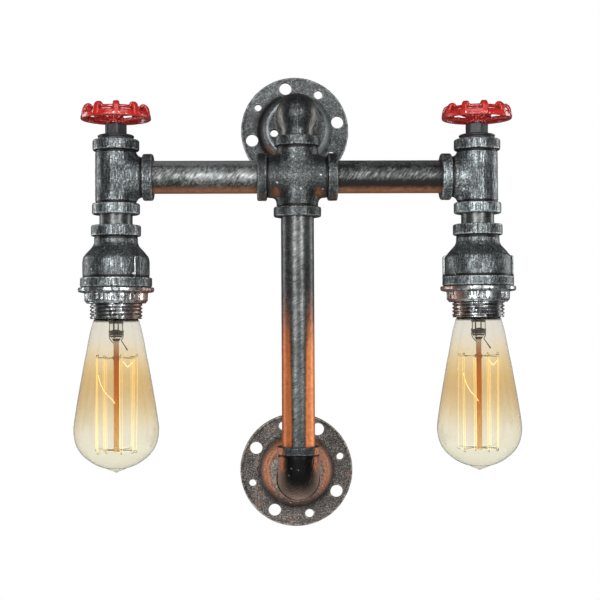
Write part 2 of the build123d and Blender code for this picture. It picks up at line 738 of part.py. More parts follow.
    # ------------------------------------------------------------ wires
    # from the terminal block through the elbow, the cross and the arm, and
    # down through the tee into the lampholder
    for core, s in (("live", 1), ("neutral", -1)):
        xs = sx * 1.7
        ys = axis_y - s * wire_off
        route = [
            (xs, -5.2, s * block_off), (xs, -17.0, s * block_off), (xs, -31.0, s * wire_off),
            (xs, ys, s * wire_off), (xs, ys, arm_z), (x0, ys, arm_z), (x0, ys, arm_z - 73.4),
        ]
        bends = [40.0, 40.0, 19.0, 19.0, 22.0]
        with BuildPart() as wire:
            with BuildLine() as way:
                FilletPolyline(*route, radius=bends)
            with BuildSketch(Plane(origin=route[0], z_dir=(0, -1, 0))):
                Circle(wire_r)
            sweep()
        way_length = sum(e.length for e in way.line.edges())
        print(side, core, "wire length", round(way_length, 1), "volume over section x length",
              round(wire.part.volume / (pi * wire_r ** 2 * way_length), 4), "radii", bends)
        wire.part.label = side + "_" + core + "_wire"
        export_step(wire.part, "parts/" + side + "_" + core + "_wire.step")

# ---------------------------------------------------------------- shared fasteners
# hollow threaded tubes that hold the lampholders in the reducers
with BuildPart() as fixing_tubes:
    with BuildSketch(Plane.XY.offset(arm_z - 66.0)):
        with Locations((-lamp_x, axis_y), (lamp_x, axis_y)):
            Circle(5.0)
            Circle(3.6, mode=Mode.SUBTRACT)
    extrude(amount=66.0 - 39.6)
fixing_tubes.part.label = "fixing_tubes"
export_step(fixing_tubes.part, "parts/fixing_tubes.step")

with BuildPart() as fixing_washers:
    with BuildSketch(Plane.XY.offset(arm_z - 46.1)):
        with Locations((-lamp_x, axis_y), (lamp_x, axis_y)):
            Circle(12.2)
            Circle(5.1, mode=Mode.SUBTRACT)
    extrude(amount=2.0)
fixing_washers.part.label = "fixing_washers"
export_step(fixing_washers.part, "parts/fixing_washers.step")

with BuildPart() as fixing_nuts:
    with BuildSketch(Plane.XY.offset(arm_z - 44.1)):
        with Locations((-lamp_x, axis_y), (lamp_x, axis_y)):
            RegularPolygon(7.0, 6, major_radius=False)
            Circle(5.05, mode=Mode.SUBTRACT)
    extrude(amount=3.0)
fixing_nuts.part.label = "fixing_nuts"
export_step(fixing_nuts.part, "parts/fixing_nuts.step")

with BuildPart() as terminal_screws:
    for x0 in (-lamp_x, lamp_x):
        for s in (-1, 1):
            with BuildSketch(Plane(
                origin=(x0, axis_y + s * (wire_off + wire_r + 0.02), arm_z - 72.0), x_dir=(1, 0, 0), z_dir=(0, s, 0)
            )):
                Circle(1.5)
            extrude(amount=10.6)
terminal_screws.part.label = "holder_terminal_screws"
export_step(terminal_screws.part, "parts/holder_terminal_screws.step")

# two-pole terminal block in the hollow of the upper flange
with BuildPart() as block:
    with BuildSketch(Plane.XZ.offset(1.5)):
        RectangleRounded(10.4, 16.4, 1.2)
    extrude(amount=9.0)
    with BuildSketch(Plane.XZ.offset(10.5)):
        with Locations((0, block_off), (0, -block_off)):
            Circle(2.95)
    extrude(amount=-5.4, mode=Mode.SUBTRACT)
    # supply side entries, from the wall
    with BuildSketch(Plane.XZ.offset(1.5)):
        with Locations((0, block_off), (0, -block_off)):
            Circle(1.6)
    extrude(amount=2.4, mode=Mode.SUBTRACT)
    # clamp screw holes, from the left
    with BuildSketch(Plane.YZ.offset(-5.2)):
        with Locations((-7.2, block_off), (-7.2, -block_off)):
            Circle(1.55)
    extrude(amount=3.2, mode=Mode.SUBTRACT)
block.part.label = "terminal_block"
export_step(block.part, "parts/terminal_block.step")

with BuildPart() as block_screws:
    with BuildSketch(Plane.YZ.offset(-4.9)):
        with Locations((-7.2, block_off), (-7.2, -block_off)):
            Circle(1.5)
    extrude(amount=2.0)
block_screws.part.label = "terminal_block_screws"
export_step(block_screws.part, "parts/terminal_block_screws.step")

with BuildPart() as earth_screw:
    with BuildSketch(Plane(origin=(16.6, -cavity_d - 5.0, 0), x_dir=(1, 0, 0), z_dir=(0, 1, 0))):
        Circle(2.0)
    extrude(amount=5.0)
    with BuildSketch(Plane(origin=(16.6, -cavity_d, 0), x_dir=(1, 0, 0), z_dir=(0, 1, 0))):
        Circle(3.4)
    extrude(amount=2.2)
    with BuildSketch(Plane(origin=(16.6, -cavity_d + 2.2, 0), x_dir=(1, 0, 0), z_dir=(0, 1, 0))):
        Rectangle(5.4, 0.9)
    extrude(amount=-1.0, mode=Mode.SUBTRACT)
earth_screw.part.label = "earth_screw"
export_step(earth_screw.part, "parts/earth_screw.step")
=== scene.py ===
import json
import math

import bpy
import numpy as np
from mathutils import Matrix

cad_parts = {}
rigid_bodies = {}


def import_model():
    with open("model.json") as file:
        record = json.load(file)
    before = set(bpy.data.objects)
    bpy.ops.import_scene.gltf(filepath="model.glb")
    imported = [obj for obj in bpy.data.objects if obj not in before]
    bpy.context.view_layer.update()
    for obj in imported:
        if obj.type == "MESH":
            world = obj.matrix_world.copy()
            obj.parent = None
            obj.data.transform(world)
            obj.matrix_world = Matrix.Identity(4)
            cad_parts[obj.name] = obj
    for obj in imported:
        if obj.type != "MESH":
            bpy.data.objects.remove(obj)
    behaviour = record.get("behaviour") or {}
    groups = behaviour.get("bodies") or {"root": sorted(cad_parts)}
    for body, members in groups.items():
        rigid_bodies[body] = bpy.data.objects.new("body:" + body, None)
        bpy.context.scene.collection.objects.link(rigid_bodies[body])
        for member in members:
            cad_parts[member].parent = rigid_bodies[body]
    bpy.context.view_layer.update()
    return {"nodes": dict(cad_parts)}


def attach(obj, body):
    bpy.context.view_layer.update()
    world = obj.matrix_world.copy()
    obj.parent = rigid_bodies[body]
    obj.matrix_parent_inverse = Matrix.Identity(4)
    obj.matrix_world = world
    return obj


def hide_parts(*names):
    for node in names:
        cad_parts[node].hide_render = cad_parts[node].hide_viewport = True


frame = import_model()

import openvdb as vdb
from mathutils import Euler, Matrix, Vector

NODES = frame["nodes"]

# millimetres in the row frame, as the pieces were drawn
AXIS_Y = -88.0
ARM_Z = -47.6
LOW_Z = -275.6
LAMP_X = 135.75
ROOT = "wall_frame"

# ------------------------------------------------------------------ camera
cam_data = bpy.data.cameras.new("camera")
cam = bpy.data.objects.new("camera", cam_data)
bpy.context.scene.collection.objects.link(cam)
cam_data.sensor_width = 36.0
cam_data.lens = 78.0
cam_data.clip_start, cam_data.clip_end = 0.05, 30.0
CAM_POS = Vector((-0.0215, -1.062, -0.1645))
CAM_PITCH, CAM_YAW, CAM_ROLL = 1.44, 1.36, -0.30


def aim(pitch, yaw, roll):
    p, y, r = (math.radians(v) for v in (pitch, yaw, roll))
    forward = Vector((math.sin(y) * math.cos(p), math.cos(y) * math.cos(p), math.sin(p)))
    right = Vector((math.cos(y), -math.sin(y), 0.0))
    up = right.cross(forward)
    right, up = math.cos(r) * right + math.sin(r) * up, -math.sin(r) * right + math.cos(r) * up
    return Matrix((right, up, -forward)).transposed().to_4x4()


cam.matrix_world = Matrix.Translation(CAM_POS) @ aim(CAM_PITCH, CAM_YAW, CAM_ROLL)
bpy.context.scene.camera = cam

# ------------------------------------------------------------------ mesh tools
rng = np.random.default_rng(7)


def mesh_object(name, verts, faces, smooth=True):
    """verts in metres; faces is a list of index arrays or tuples"""
    me = bpy.data.meshes.new(name)
    me.from_pydata([tuple(v) for v in verts], [], [tuple(int(i) for i in f) for f in faces])
    me.validate()
    me.update()
    if smooth:
        me.shade_smooth()
    ob = bpy.data.objects.new(name, me)
    bpy.context.scene.collection.objects.link(ob)
    return ob


def grid_mesh(name, verts, quads, tris=None):
    me = bpy.data.meshes.new(name)
    nq, nt_ = len(quads), 0 if tris is None else len(tris)
    me.vertices.add(len(verts))
    me.vertices.foreach_set("co", np.asarray(verts, np.float32).ravel())
    loops = np.asarray(quads, np.int32).ravel()
    starts = np.arange(nq, dtype=np.int32) * 4
    totals = np.full(nq, 4, np.int32)
    if nt_:
        loops = np.concatenate([loops, np.asarray(tris, np.int32).ravel()])
        starts = np.concatenate([starts, nq * 4 + np.arange(nt_, dtype=np.int32) * 3])
        totals = np.concatenate([totals, np.full(nt_, 3, np.int32)])
    me.loops.add(len(loops))
    me.loops.foreach_set("vertex_index", loops)
    me.polygons.add(nq + nt_)
    me.polygons.foreach_set("loop_start", starts)
    me.polygons.foreach_set("loop_total", totals)
    me.update(calc_edges=True)
    me.validate()
    me.shade_smooth()
    ob = bpy.data.objects.new(name, me)
    bpy.context.scene.collection.objects.link(ob)
    return ob


def volume_of(verts, quads):
    a, b, c, d = (verts[quads[:, i]] for i in range(4))
    return (np.einsum("ij,ij->i", a, np.cross(b, c)).sum() + np.einsum("ij,ij->i", a, np.cross(c, d)).sum()) / 6


def sdf_object(name, fn, low, high, step, centre, sweeps=2):
    """Surface where fn is zero. fn takes x, y, z in mm about centre (mm, row frame)."""
    low = np.asarray(low, float) - 2.5 * step
    high = np.asarray(high, float) + 2.5 * step
    n = np.ceil((high - low) / step).astype(int) + 1
    axes = [(low[i] + step * np.arange(n[i])).astype(np.float32) for i in range(3)]
    x, y, z = np.meshgrid(*axes, indexing="ij")
    d = fn(x, y, z)
    g = vdb.FloatGrid(3.0)
    g.copyFromArray(np.clip(d / step, -3, 3).astype(np.float32))
    pts, quads = g.convertToQuads(isovalue=0.0)
    pts = pts.astype(np.float64) * step + low
    quads = quads.astype(np.int64)
    h = 0.25 * step
    for _ in range(sweeps):
        px, py, pz = (pts[:, i].astype(np.float64) for i in range(3))
        d0 = fn(px, py, pz)
        gx = (fn(px + h, py, pz) - fn(px - h, py, pz)) / (2 * h)
        gy = (fn(px, py + h, pz) - fn(px, py - h, pz)) / (2 * h)
        gz = (fn(px, py, pz + h) - fn(px, py, pz - h)) / (2 * h)
        g2 = np.maximum(gx * gx + gy * gy + gz * gz, 0.25)
        move = np.clip(d0, -0.5 * step, 0.5 * step) / g2
        pts -= np.stack([gx, gy, gz], 1) * move[:, None] * 0.9
    if volume_of(pts, quads) < 0:
        quads = quads[:, ::-1]
    return grid_mesh(name, (pts + np.asarray(centre, float)) * 0.001, quads)


def smin(a, b, k):
    h = np.maximum(k - np.abs(a - b), 0.0) / k
    return np.minimum(a, b) - h * h * k * 0.25


def smax(a, b, k):
    return -smin(-a, -b, k)


def drum(rad, t, r, t0, t1, bev=0.3):
    """Solid cylinder: rad from the axis, t along it, edges rounded by bev"""
    qx = rad - (r - bev)
    qy = np.abs(t - (t0 + t1) / 2) - ((t1 - t0) / 2 - bev)
    return np.hypot(np.maximum(qx, 0), np.maximum(qy, 0)) + np.minimum(np.maximum(qx, qy), 0) - bev


def ring_groove(rad, t, r, t0, w):
    return np.hypot(rad - r, t - t0) - w


def cast_skin(x, y, z, amp=0.07, seed=0.0):
    """Slow unevenness of a sand casting"""
    return amp * (
        np.sin(0.83 * x + 1.31 * y + seed) * np.sin(0.77 * z - 0.9 * x + 1.7 * seed)
        + 0.6 * np.sin(1.9 * y + 1.43 * z + 2.1 * seed) * np.sin(1.67 * x - 1.2 * z)
        + 0.35 * np.sin(3.1 * z + 2.3 * x) * np.sin(2.9 * y - 1.1 * x + seed)
    )


def round_corners(pts, radius, n=4, closed=True):
    """2-D outline with each corner replaced by a small arc. Points are (r, z) or (r, z, radius)."""
    out, m = [], len(pts)
    for i in range(m):
        p = np.array(pts[i][:2], float)
        r = pts[i][2] if len(pts[i]) > 2 else radius
        if not closed and i in (0, m - 1):
            out.append(p)
            continue
        a = np.array(pts[i - 1][:2], float) - p
        b = np.array(pts[(i + 1) % m][:2], float) - p
        la, lb = np.hypot(*a), np.hypot(*b)
        a, b = a / la, b / lb
        turn = math.acos(max(-1.0, min(1.0, float(a @ b))))
        if r <= 0 or turn > math.pi - 0.05:
            out.append(p)
            continue
        t = min(r / math.tan(turn / 2), 0.45 * la, 0.45 * lb)
        r = t * math.tan(turn / 2)
        p0, p1 = p + a * t, p + b * t
        mid = (a + b) / np.hypot(*(a + b))
        c = p + mid * (r / math.sin(turn / 2))
        a0 = math.atan2(*(p0 - c)[::-1])
        a1 = math.atan2(*(p1 - c)[::-1])
        da = (a1 - a0 + math.pi) % (2 * math.pi) - math.pi
        steps = n if abs(da) > 0.5 else max(2, n // 2)
        for s in range(steps + 1):
            t_ = a0 + da * s / steps
            out.append(c + r * np.array([math.cos(t_), math.sin(t_)]))
    return out


def lathe(name, outline, centre, segs=128, closed=True, axis="Z", support=0.35, tweak=None):
    """Turns an outline of (r, t) in mm about an axis through centre. Points on the axis become poles."""
    pts = [np.asarray(p[:2], float) for p in outline]
    full = []
    m = len(pts)
    for i in range(m if closed else m - 1):
        p, q = pts[i], pts[(i + 1) % m]
        full.append(p)
        length = float(np.hypot(*(q - p)))
        if length > 4 * support and support > 0:
            full.append(p + (q - p) * support / length)
            full.append(q - (q - p) * support / length)
    if not closed:
        full.append(pts[-1])
    ang = np.linspace(0, 2 * math.pi, segs, endpoint=False)
    verts, index = [], []
    for r, t in full:
        if abs(r) < 1e-7:
            index.append(np.full(segs, len(verts)))
            verts.append(np.array([0.0, 0.0, t]))
        else:
            rr = np.full(segs, r)
            tt = np.full(segs, t)
            if tweak is not None:
                rr, tt = tweak(rr, tt, ang)
            index.append(len(verts) + np.arange(segs))
            verts.extend(np.stack([rr * np.cos(ang), rr * np.sin(ang), tt], 1))
    verts = np.array(verts)
    quads, tris = [], []
    rows = len(index)
    for i in range(rows if closed else rows - 1):
        a, b = index[i], index[(i + 1) % rows]
        a2, b2 = np.roll(a, -1), np.roll(b, -1)
        if a[0] == a[1] and b[0] == b[1]:
            continue
        if a[0] == a[1]:
            tris.append(np.stack([a, b2, b], 1))
        elif b[0] == b[1]:
            tris.append(np.stack([a, a2, b], 1))
        else:
            quads.append(np.stack([a, a2, b2, b], 1))
    quads = np.concatenate(quads) if quads else np.zeros((0, 4), int)
    tris = np.concatenate(tris) if tris else None
    vol = volume_of(verts, quads)
    if tris is not None:
        vol += np.einsum("ij,ij->i", verts[tris[:, 0]], np.cross(verts[tris[:, 1]], verts[tris[:, 2]])).sum() / 6
    if vol < 0:
        quads = quads[:, ::-1]
        tris = None if tris is None else tris[:, ::-1]
    if axis == "X":
        verts = verts[:, [2, 0, 1]]
    elif axis == "Y":
        verts = verts[:, [1, 2, 0]]
    return grid_mesh(name, (verts + np.asarray(centre, float)) * 0.001, quads, tris)


def tube(name, path, radius, segs=10, closed=False, caps=True):
    """Round wire through the points (mm, row frame). radius is a number or one per point."""
    p = np.asarray(path, float)
    n = len(p)
    rad = np.broadcast_to(np.asarray(radius, float), (n,))
    tan = np.gradient(p, axis=0) if not closed else np.roll(p, -1, 0) - np.roll(p, 1, 0)
    tan /= np.linalg.norm(tan, axis=1)[:, None]
    ref = np.array([0.0, 0.0, 1.0]) if abs(tan[0][2]) < 0.9 else np.array([1.0, 0.0, 0.0])
    u = np.cross(tan[0], ref)
    u /= np.linalg.norm(u)
    rows = []
    ang = np.linspace(0, 2 * math.pi, segs, endpoint=False)
    for i in range(n):
        u = u - tan[i] * (u @ tan[i])
        u /= np.linalg.norm(u)
        v = np.cross(tan[i], u)
        rows.append(p[i] + rad[i] * (np.cos(ang)[:, None] * u + np.sin(ang)[:, None] * v))
    verts = np.concatenate(rows)
    quads = []
    for i in range(n if closed else n - 1):
        a = i * segs + np.arange(segs)
        b = ((i + 1) % n) * segs + np.arange(segs)
        quads.append(np.stack([a, np.roll(a, -1), np.roll(b, -1), b], 1))
    tris = []
    if caps and not closed:
        verts = np.concatenate([verts, p[:1], p[-1:]])
        s0, s1 = len(verts) - 2, len(verts) - 1
        a = np.arange(segs)
        tris.append(np.stack([np.full(segs, s0), np.roll(a, -1), a], 1))
        b = (n - 1) * segs + a
        tris.append(np.stack([np.full(segs, s1), b, np.roll(b, -1)], 1))
    return verts, np.concatenate(quads), np.concatenate(tris) if tris else np.zeros((0, 3), int)


def join_tubes(name, parts):
    verts, quads, tris, base = [], [], [], 0
    for v, q, t in parts:
        verts.append(v)
        quads.append(q + base)
        tris.append(t + base)
        base += len(v)
    tris = np.concatenate(tris)
    return grid_mesh(name, np.concatenate(verts) * 0.001, np.concatenate(quads), tris if len(tris) else None)


def smooth_line(points, n):
    """Points evenly spread along a soft curve through the given ones (Catmull-Rom)."""
    p = np.asarray(points, float)
    p = np.concatenate([[2 * p[0] - p[1]], p, [2 * p[-1] - p[-2]]])
    out = []
    spans = len(p) - 3
    for i in range(spans):
        t = np.linspace(0, 1, max(2, n // spans), endpoint=False)[:, None]
        a, b, c, d = p[i], p[i + 1], p[i + 2], p[i + 3]
        out.append(0.5 * (2 * b + (c - a) * t + (2 * a - 5 * b + 4 * c - d) * t * t + (3 * b - a - 3 * c + d) * t ** 3))
    out.append(p[-2][None])
    return np.concatenate(out)


class Outline:
    """Signed distance to a turned profile, looked up from a fine table."""

    def __init__(self, pts, res=0.1, pad=4.0):
        p = np.asarray([q[:2] for q in pts], float)
        self.lo = p.min(0) - pad
        hi = p.max(0) + pad
        self.res = res
        n = np.ceil((hi - self.lo) / res).astype(int) + 2
        r = self.lo[0] + res * np.arange(n[0])
        t = self.lo[1] + res * np.arange(n[1])
        R, T = np.meshgrid(r, t, indexing="ij")
        best = np.full(R.shape, 1e9)
        inside = np.zeros(R.shape, bool)
        m = len(p)
        for i in range(m):
            a, b = p[i], p[(i + 1) % m]
            e = b - a
            l2 = max(float(e @ e), 1e-12)
            s = np.clip(((R - a[0]) * e[0] + (T - a[1]) * e[1]) / l2, 0, 1)
            best = np.minimum(best, (R - a[0] - s * e[0]) ** 2 + (T - a[1] - s * e[1]) ** 2)
            cross = (a[1] > T) != (b[1] > T)
            if abs(e[1]) > 1e-12:
                inside ^= cross & (R < (b[0] - a[0]) * (T - a[1]) / e[1] + a[0])
        self.table = np.where(inside, -1.0, 1.0) * np.sqrt(best)
        self.n = n

    def __call__(self, rad, t):
        u = (rad - self.lo[0]) / self.res
        v = (t - self.lo[1]) / self.res
        over = np.maximum(0, np.maximum(-u, u - (self.n[0] - 1))) + np.maximum(0, np.maximum(-v, v - (self.n[1] - 1)))
        u = np.clip(u, 0, self.n[0] - 1.001)
        v = np.clip(v, 0, self.n[1] - 1.001)
        i, j = u.astype(np.int32), v.astype(np.int32)
        fu, fv = u - i, v - j
        T = self.table
        return (
            T[i, j] * (1 - fu) * (1 - fv) + T[i + 1, j] * fu * (1 - fv)
            + T[i, j + 1] * (1 - fu) * fv + T[i + 1, j + 1] * fu * fv
        ) + over * self.res


# ------------------------------------------------------------------ material tools
class Shader:
    """Small helper around one node tree"""

    def __init__(self, name):
        self.mat = bpy.data.materials.new(name)
        self.mat.use_nodes = True
        self.nt = self.mat.node_tree
        self.nt.nodes.clear()
        self.out = self.add("ShaderNodeOutputMaterial")
        self.bsdf = self.add("ShaderNodeBsdfPrincipled")
        self.nt.links.new(self.bsdf.outputs[0], self.out.inputs[0])
        self.coord = self.add("ShaderNodeTexCoord")
        scale = self.add("ShaderNodeVectorMath", operation="SCALE")
        scale.inputs["Scale"].default_value = 1000.0
        self.link(self.coord.outputs["Object"], scale.inputs[0])
        self.mm = scale.outputs[0]
        split = self.add("ShaderNodeSeparateXYZ")
        self.link(self.mm, split.inputs[0])
        self.x, self.y, self.z = split.outputs
        nsplit = self.add("ShaderNodeSeparateXYZ")
        self.link(self.coord.outputs["Normal"], nsplit.inputs[0])
        self.nx, self.ny, self.nz = nsplit.outputs

    def add(self, kind, **props):
        n = self.nt.nodes.new(kind)
        for k, v in props.items():
            setattr(n, k, v)
        return n

    def link(self, a, b):
        self.nt.links.new(a, b)

    def put(self, socket, value):
        if isinstance(value, bpy.types.NodeSocket):
            self.link(value, socket)
        else:
            socket.default_value = value

    def set(self, name, value):
        if isinstance(value, (tuple, list)) and len(value) == 3:
            value = (*value, 1.0)
        self.put(self.bsdf.inputs[name], value)

    def m(self, op, a, b=0.0, c=0.0, clamp=False):
        n = self.add("ShaderNodeMath", operation=op, use_clamp=clamp)
        self.put(n.inputs[0], a)
        self.put(n.inputs[1], b)
        if op in ("MULTIPLY_ADD", "SMOOTH_MIN", "SMOOTH_MAX", "COMPARE"):
            self.put(n.inputs[2], c)
        return n.outputs[0]

    def step(self, v, low, high, to=(0.0, 1.0)):
        """Smooth step of v from low to high"""
        n = self.add("ShaderNodeMapRange", interpolation_type="SMOOTHSTEP")
        self.put(n.inputs["Value"], v)
        n.inputs["From Min"].default_value = min(low, high)
        n.inputs["From Max"].default_value = max(low, high)
        a, b = to if high > low else (to[1], to[0])
        n.inputs["To Min"].default_value = a
        n.inputs["To Max"].default_value = b
        return n.outputs[0]

    def vec(self, x, y, z):
        n = self.add("ShaderNodeCombineXYZ")
        for s, v in zip(n.inputs, (x, y, z)):
            self.put(s, v)
        return n.outputs[0]

    def turn(self, vector, rot=(0, 0, 0), scale=(1, 1, 1), loc=(0, 0, 0)):
        n = self.add("ShaderNodeMapping")
        self.link(vector, n.inputs[0])
        n.inputs["Location"].default_value = loc
        n.inputs["Rotation"].default_value = [math.radians(a) for a in rot]
        n.inputs["Scale"].default_value = scale
        return n.outputs[0]

    def noise(self, vector, scale, detail=3.0, rough=0.55, dist=0.0, lac=2.0):
        n = self.add("ShaderNodeTexNoise")
        self.link(vector, n.inputs["Vector"])
        n.inputs["Scale"].default_value = scale
        n.inputs["Detail"].default_value = detail
        n.inputs["Roughness"].default_value = rough
        n.inputs["Lacunarity"].default_value = lac
        n.inputs["Distortion"].default_value = dist
        return n.outputs["Fac"]

    def cells(self, vector, scale, feature="F1"):
        n = self.add("ShaderNodeTexVoronoi", feature=feature)
        self.link(vector, n.inputs["Vector"])
        n.inputs["Scale"].default_value = scale
        return n.outputs["Distance"]

    def ramp(self, fac, stops, mode="LINEAR"):
        n = self.add("ShaderNodeValToRGB")
        n.color_ramp.interpolation = mode
        el = n.color_ramp.elements
        while len(el) < len(stops):
            el.new(0.5)
        for e, (pos, col) in zip(el, stops):
            e.position = pos
            e.color = (*col, 1.0) if len(col) == 3 else col
        self.link(fac, n.inputs[0])
        return n.outputs[0]

    def mix(self, fac, a, b, blend="MIX"):
        n = self.add("ShaderNodeMix", data_type="RGBA", blend_type=blend)
        self.put(n.inputs[0], fac)
        for s, v in ((n.inputs[6], a), (n.inputs[7], b)):
            if isinstance(v, (tuple, list)) and len(v) == 3:
                v = (*v, 1.0)
            self.put(s, v)
        return n.outputs[2]

    def bump(self, height, strength=0.3, distance=0.0003, normal=None):
        n = self.add("ShaderNodeBump")
        n.inputs["Strength"].default_value = strength
        n.inputs["Distance"].default_value = distance
        self.link(height, n.inputs["Height"])
        if normal is not None:
            self.link(normal, n.inputs["Normal"])
        return n.outputs[0]

    def gauss(self, v, centre, width):
        """Bell of v about centre"""
        d = self.m("DIVIDE", self.m("SUBTRACT", v, centre), width)
        return self.m("EXPONENT", self.m("MULTIPLY", self.m("MULTIPLY", d, d), -1.0))

    def wear_edges(self, low=0.52, high=0.62):
        g = self.add("ShaderNodeNewGeometry")
        return self.step(g.outputs["Pointiness"], low, high)


def paint(s, v, dark, mid, light, low=0.30, high=0.72):
    """Black base, rubbed grey and bright silver by the value v"""
    return s.ramp(s.step(v, low, high), [(0.0, dark), (0.45, mid), (1.0, light)])


# Colours of the painted warm glow: warm light from the bulbs painted onto the castings.
WARM_GLOW_STOPS = [(0.20, (0.040, 0.014, 0.008)), (0.48, (0.20, 0.070, 0.032)), (0.80, (0.44, 0.185, 0.085))]


def finish_antique(s, painted_glow, silver=0.0, edge=1.0, grain=1.0, tone=0.20, base=0.018, warm=0.0, rough=0.40, metal=0.72, pits=1.0,
                   groove_shade=None, strokes=0.0, spread=0.20, glow_stops=WARM_GLOW_STOPS, contrast=1.0, blotch=1.0, dim=None, second=None,
                   edge_tint=0.0, loose_by=0.9, deep_by=0.40, soft=(0.22, 0.88)):
    """Black casting rubbed with silver powder. The glow mask paints warm glow from the bulbs (or a rim highlight), the
    groove mask paints shade in grooves, dim paints shade (light where negative), second[0] masks a second painted glow;
    all are sockets or None.
    """
    mm = s.mm
    cloud = s.noise(mm, 0.10, 2.0, 0.5)
    patch = s.noise(mm, 0.33, 4.0, 0.62)
    grit = s.noise(mm, 0.95 * grain, 5.0, 0.76)
    dust = s.noise(mm, 3.2 * grain, 2.0, 0.6)
    v = s.m("MULTIPLY_ADD", grit, 0.66, s.m("MULTIPLY_ADD", patch, 0.20 * blotch,
            s.m("MULTIPLY_ADD", cloud, 0.18 * blotch, -0.02 + silver + 0.19 * (1 - blotch))))
    v = s.m("ADD", v, s.m("MULTIPLY", s.m("SUBTRACT", dust, 0.5), 0.22))
    if contrast != 1.0:
        v = s.m("MULTIPLY_ADD", s.m("SUBTRACT", v, 0.5), contrast, 0.5)
    if strokes:
        lines = s.noise(s.turn(mm, scale=(2.4, 2.4, 0.16)), 0.62, 3.0, 0.6)
        v = s.m("ADD", v, s.m("MULTIPLY", s.m("SUBTRACT", lines, 0.5), strokes))
    g = s.add("ShaderNodeNewGeometry").outputs["Pointiness"]
    worn = s.step(g, 0.506, 0.56)
    deep = s.step(g, 0.494, 0.45)
    broken = s.m("MULTIPLY", worn, s.step(s.m("ADD", grit, s.m("MULTIPLY", patch, 0.5)), 0.55, 0.92))
    v = s.m("ADD", v, s.m("MULTIPLY", broken, 0.42 * edge))
    v = s.m("SUBTRACT", v, s.m("MULTIPLY", deep, deep_by))
    # Painted shade along the grooves beside the collars.
    if groove_shade is not None:
        v = s.m("SUBTRACT", v, s.m("MULTIPLY", groove_shade, 0.6))
    # Painted shade, or painted light where the value is negative.
    if dim is not None:
        v = s.m("SUBTRACT", v, dim)
    w = 1.0 + warm
    dark = (base * w, base, base * 0.98)
    mid = (0.288 * tone * w, 0.327 * tone, 0.340 * tone * (1 - 0.45 * warm))
    light = (tone * (1 + 0.5 * warm) * 1.25, tone * 1.41, tone * 1.46 * (1 - 0.35 * warm))
    col = paint(s, v, dark, mid, light, 0.5 - spread, 0.5 + spread * 1.15)
    shade = s.step(v, 0.5 - spread, 0.5 + spread)
    if edge_tint:
        col = s.mix(s.m("MULTIPLY", broken, edge_tint), col, (1.6 * tone, 1.30 * tone, 1.08 * tone))
    # Painted warm glow from the bulbs, or a painted rim highlight where grey stops are given, laid over the paint by
    # the mask.
    if painted_glow is not None:
        tint = s.m("ADD", s.m("MULTIPLY", s.noise(mm, 0.8, 5.0, 0.66), 0.8), s.m("MULTIPLY", s.m("SUBTRACT", v, 0.5), 0.25))
        glow_paint = s.ramp(s.m("ADD", tint, 0.07), glow_stops)
        loose = s.m("ADD", painted_glow, s.m("MULTIPLY", s.m("SUBTRACT", s.noise(mm, 0.55, 5.0, 0.7), 0.5), loose_by))
        glow_mask = s.m("MULTIPLY", s.step(loose, soft[0], soft[1]), s.step(painted_glow, 0.02, 0.20))
        if groove_shade is not None:
            glow_mask = s.m("MULTIPLY", glow_mask, s.m("SUBTRACT", 1.0, s.m("MULTIPLY", groove_shade, 0.8)))
        col = s.mix(glow_mask, col, glow_paint)
        s.set("Metallic", s.m("MULTIPLY_ADD", glow_mask, -0.35, metal))
        # A second painted glow, laid over the first.
        if second is not None:
            spread_out = s.m("ADD", second[0], s.m("MULTIPLY", s.m("SUBTRACT", s.noise(mm, 0.6, 5.0, 0.7), 0.5), 1.3))
            col = s.mix(s.m("MULTIPLY", s.step(spread_out, 0.20, 1.10), s.step(second[0], 0.02, 0.3)), col, s.ramp(tint, second[1]))
    else:
        s.set("Metallic", metal)
    s.set("Base Color", col)
    s.set("Roughness", s.m("ADD", s.step(shade, 0.0, 1.0, to=(rough + 0.03, rough - 0.05)), s.m("MULTIPLY", s.m("SUBTRACT", grit, 0.5), 0.22)))
    b1 = s.bump(s.m("ADD", s.m("MULTIPLY", patch, 0.5), s.m("MULTIPLY", grit, 0.6)), 0.30 * pits, 0.0005)
    b2 = s.bump(dust, 0.14 * pits, 0.0002, b1)
    s.set("Normal", b2)
    return v


def under(s, low=-0.35, high=-0.75):
    return s.step(s.nz, low, high)


# Band mask for painting shade along a groove.
def shade_band_at(s, v, centre, half, soft=0.5):
    """1 within half of centre"""
    d = s.m("ABSOLUTE", s.m("SUBTRACT", v, centre))
    return s.step(d, half + soft, half)


# ---- castings
sh = Shader("cross_finish")
ax = sh.m("ABSOLUTE", sh.x)
dz = sh.m("SUBTRACT", sh.z, ARM_Z)
az = sh.m("ABSOLUTE", dz)
# Painted warm glow from the bulbs: on the lower fillets, on the lower part of the side collars and on the upper
# fillets.
fillet_glow = sh.m("MULTIPLY", sh.gauss(ax, 16.2, 5.0), sh.gauss(dz, -12.8, 4.6))
collar_glow = sh.m("MULTIPLY", sh.step(dz, -9.0, -16.0), sh.step(ax, 19.5, 23.0))
upper_fillet_glow = sh.m("MULTIPLY", sh.gauss(ax, 16.5, 3.0), sh.gauss(dz, 17.0, 3.5))
glow_paint = sh.m("MAXIMUM", sh.m("MULTIPLY", fillet_glow, 0.82), sh.m("MULTIPLY", collar_glow, 0.45))
glow_paint = sh.m("MAXIMUM", glow_paint, sh.m("MULTIPLY", upper_fillet_glow, 0.5))
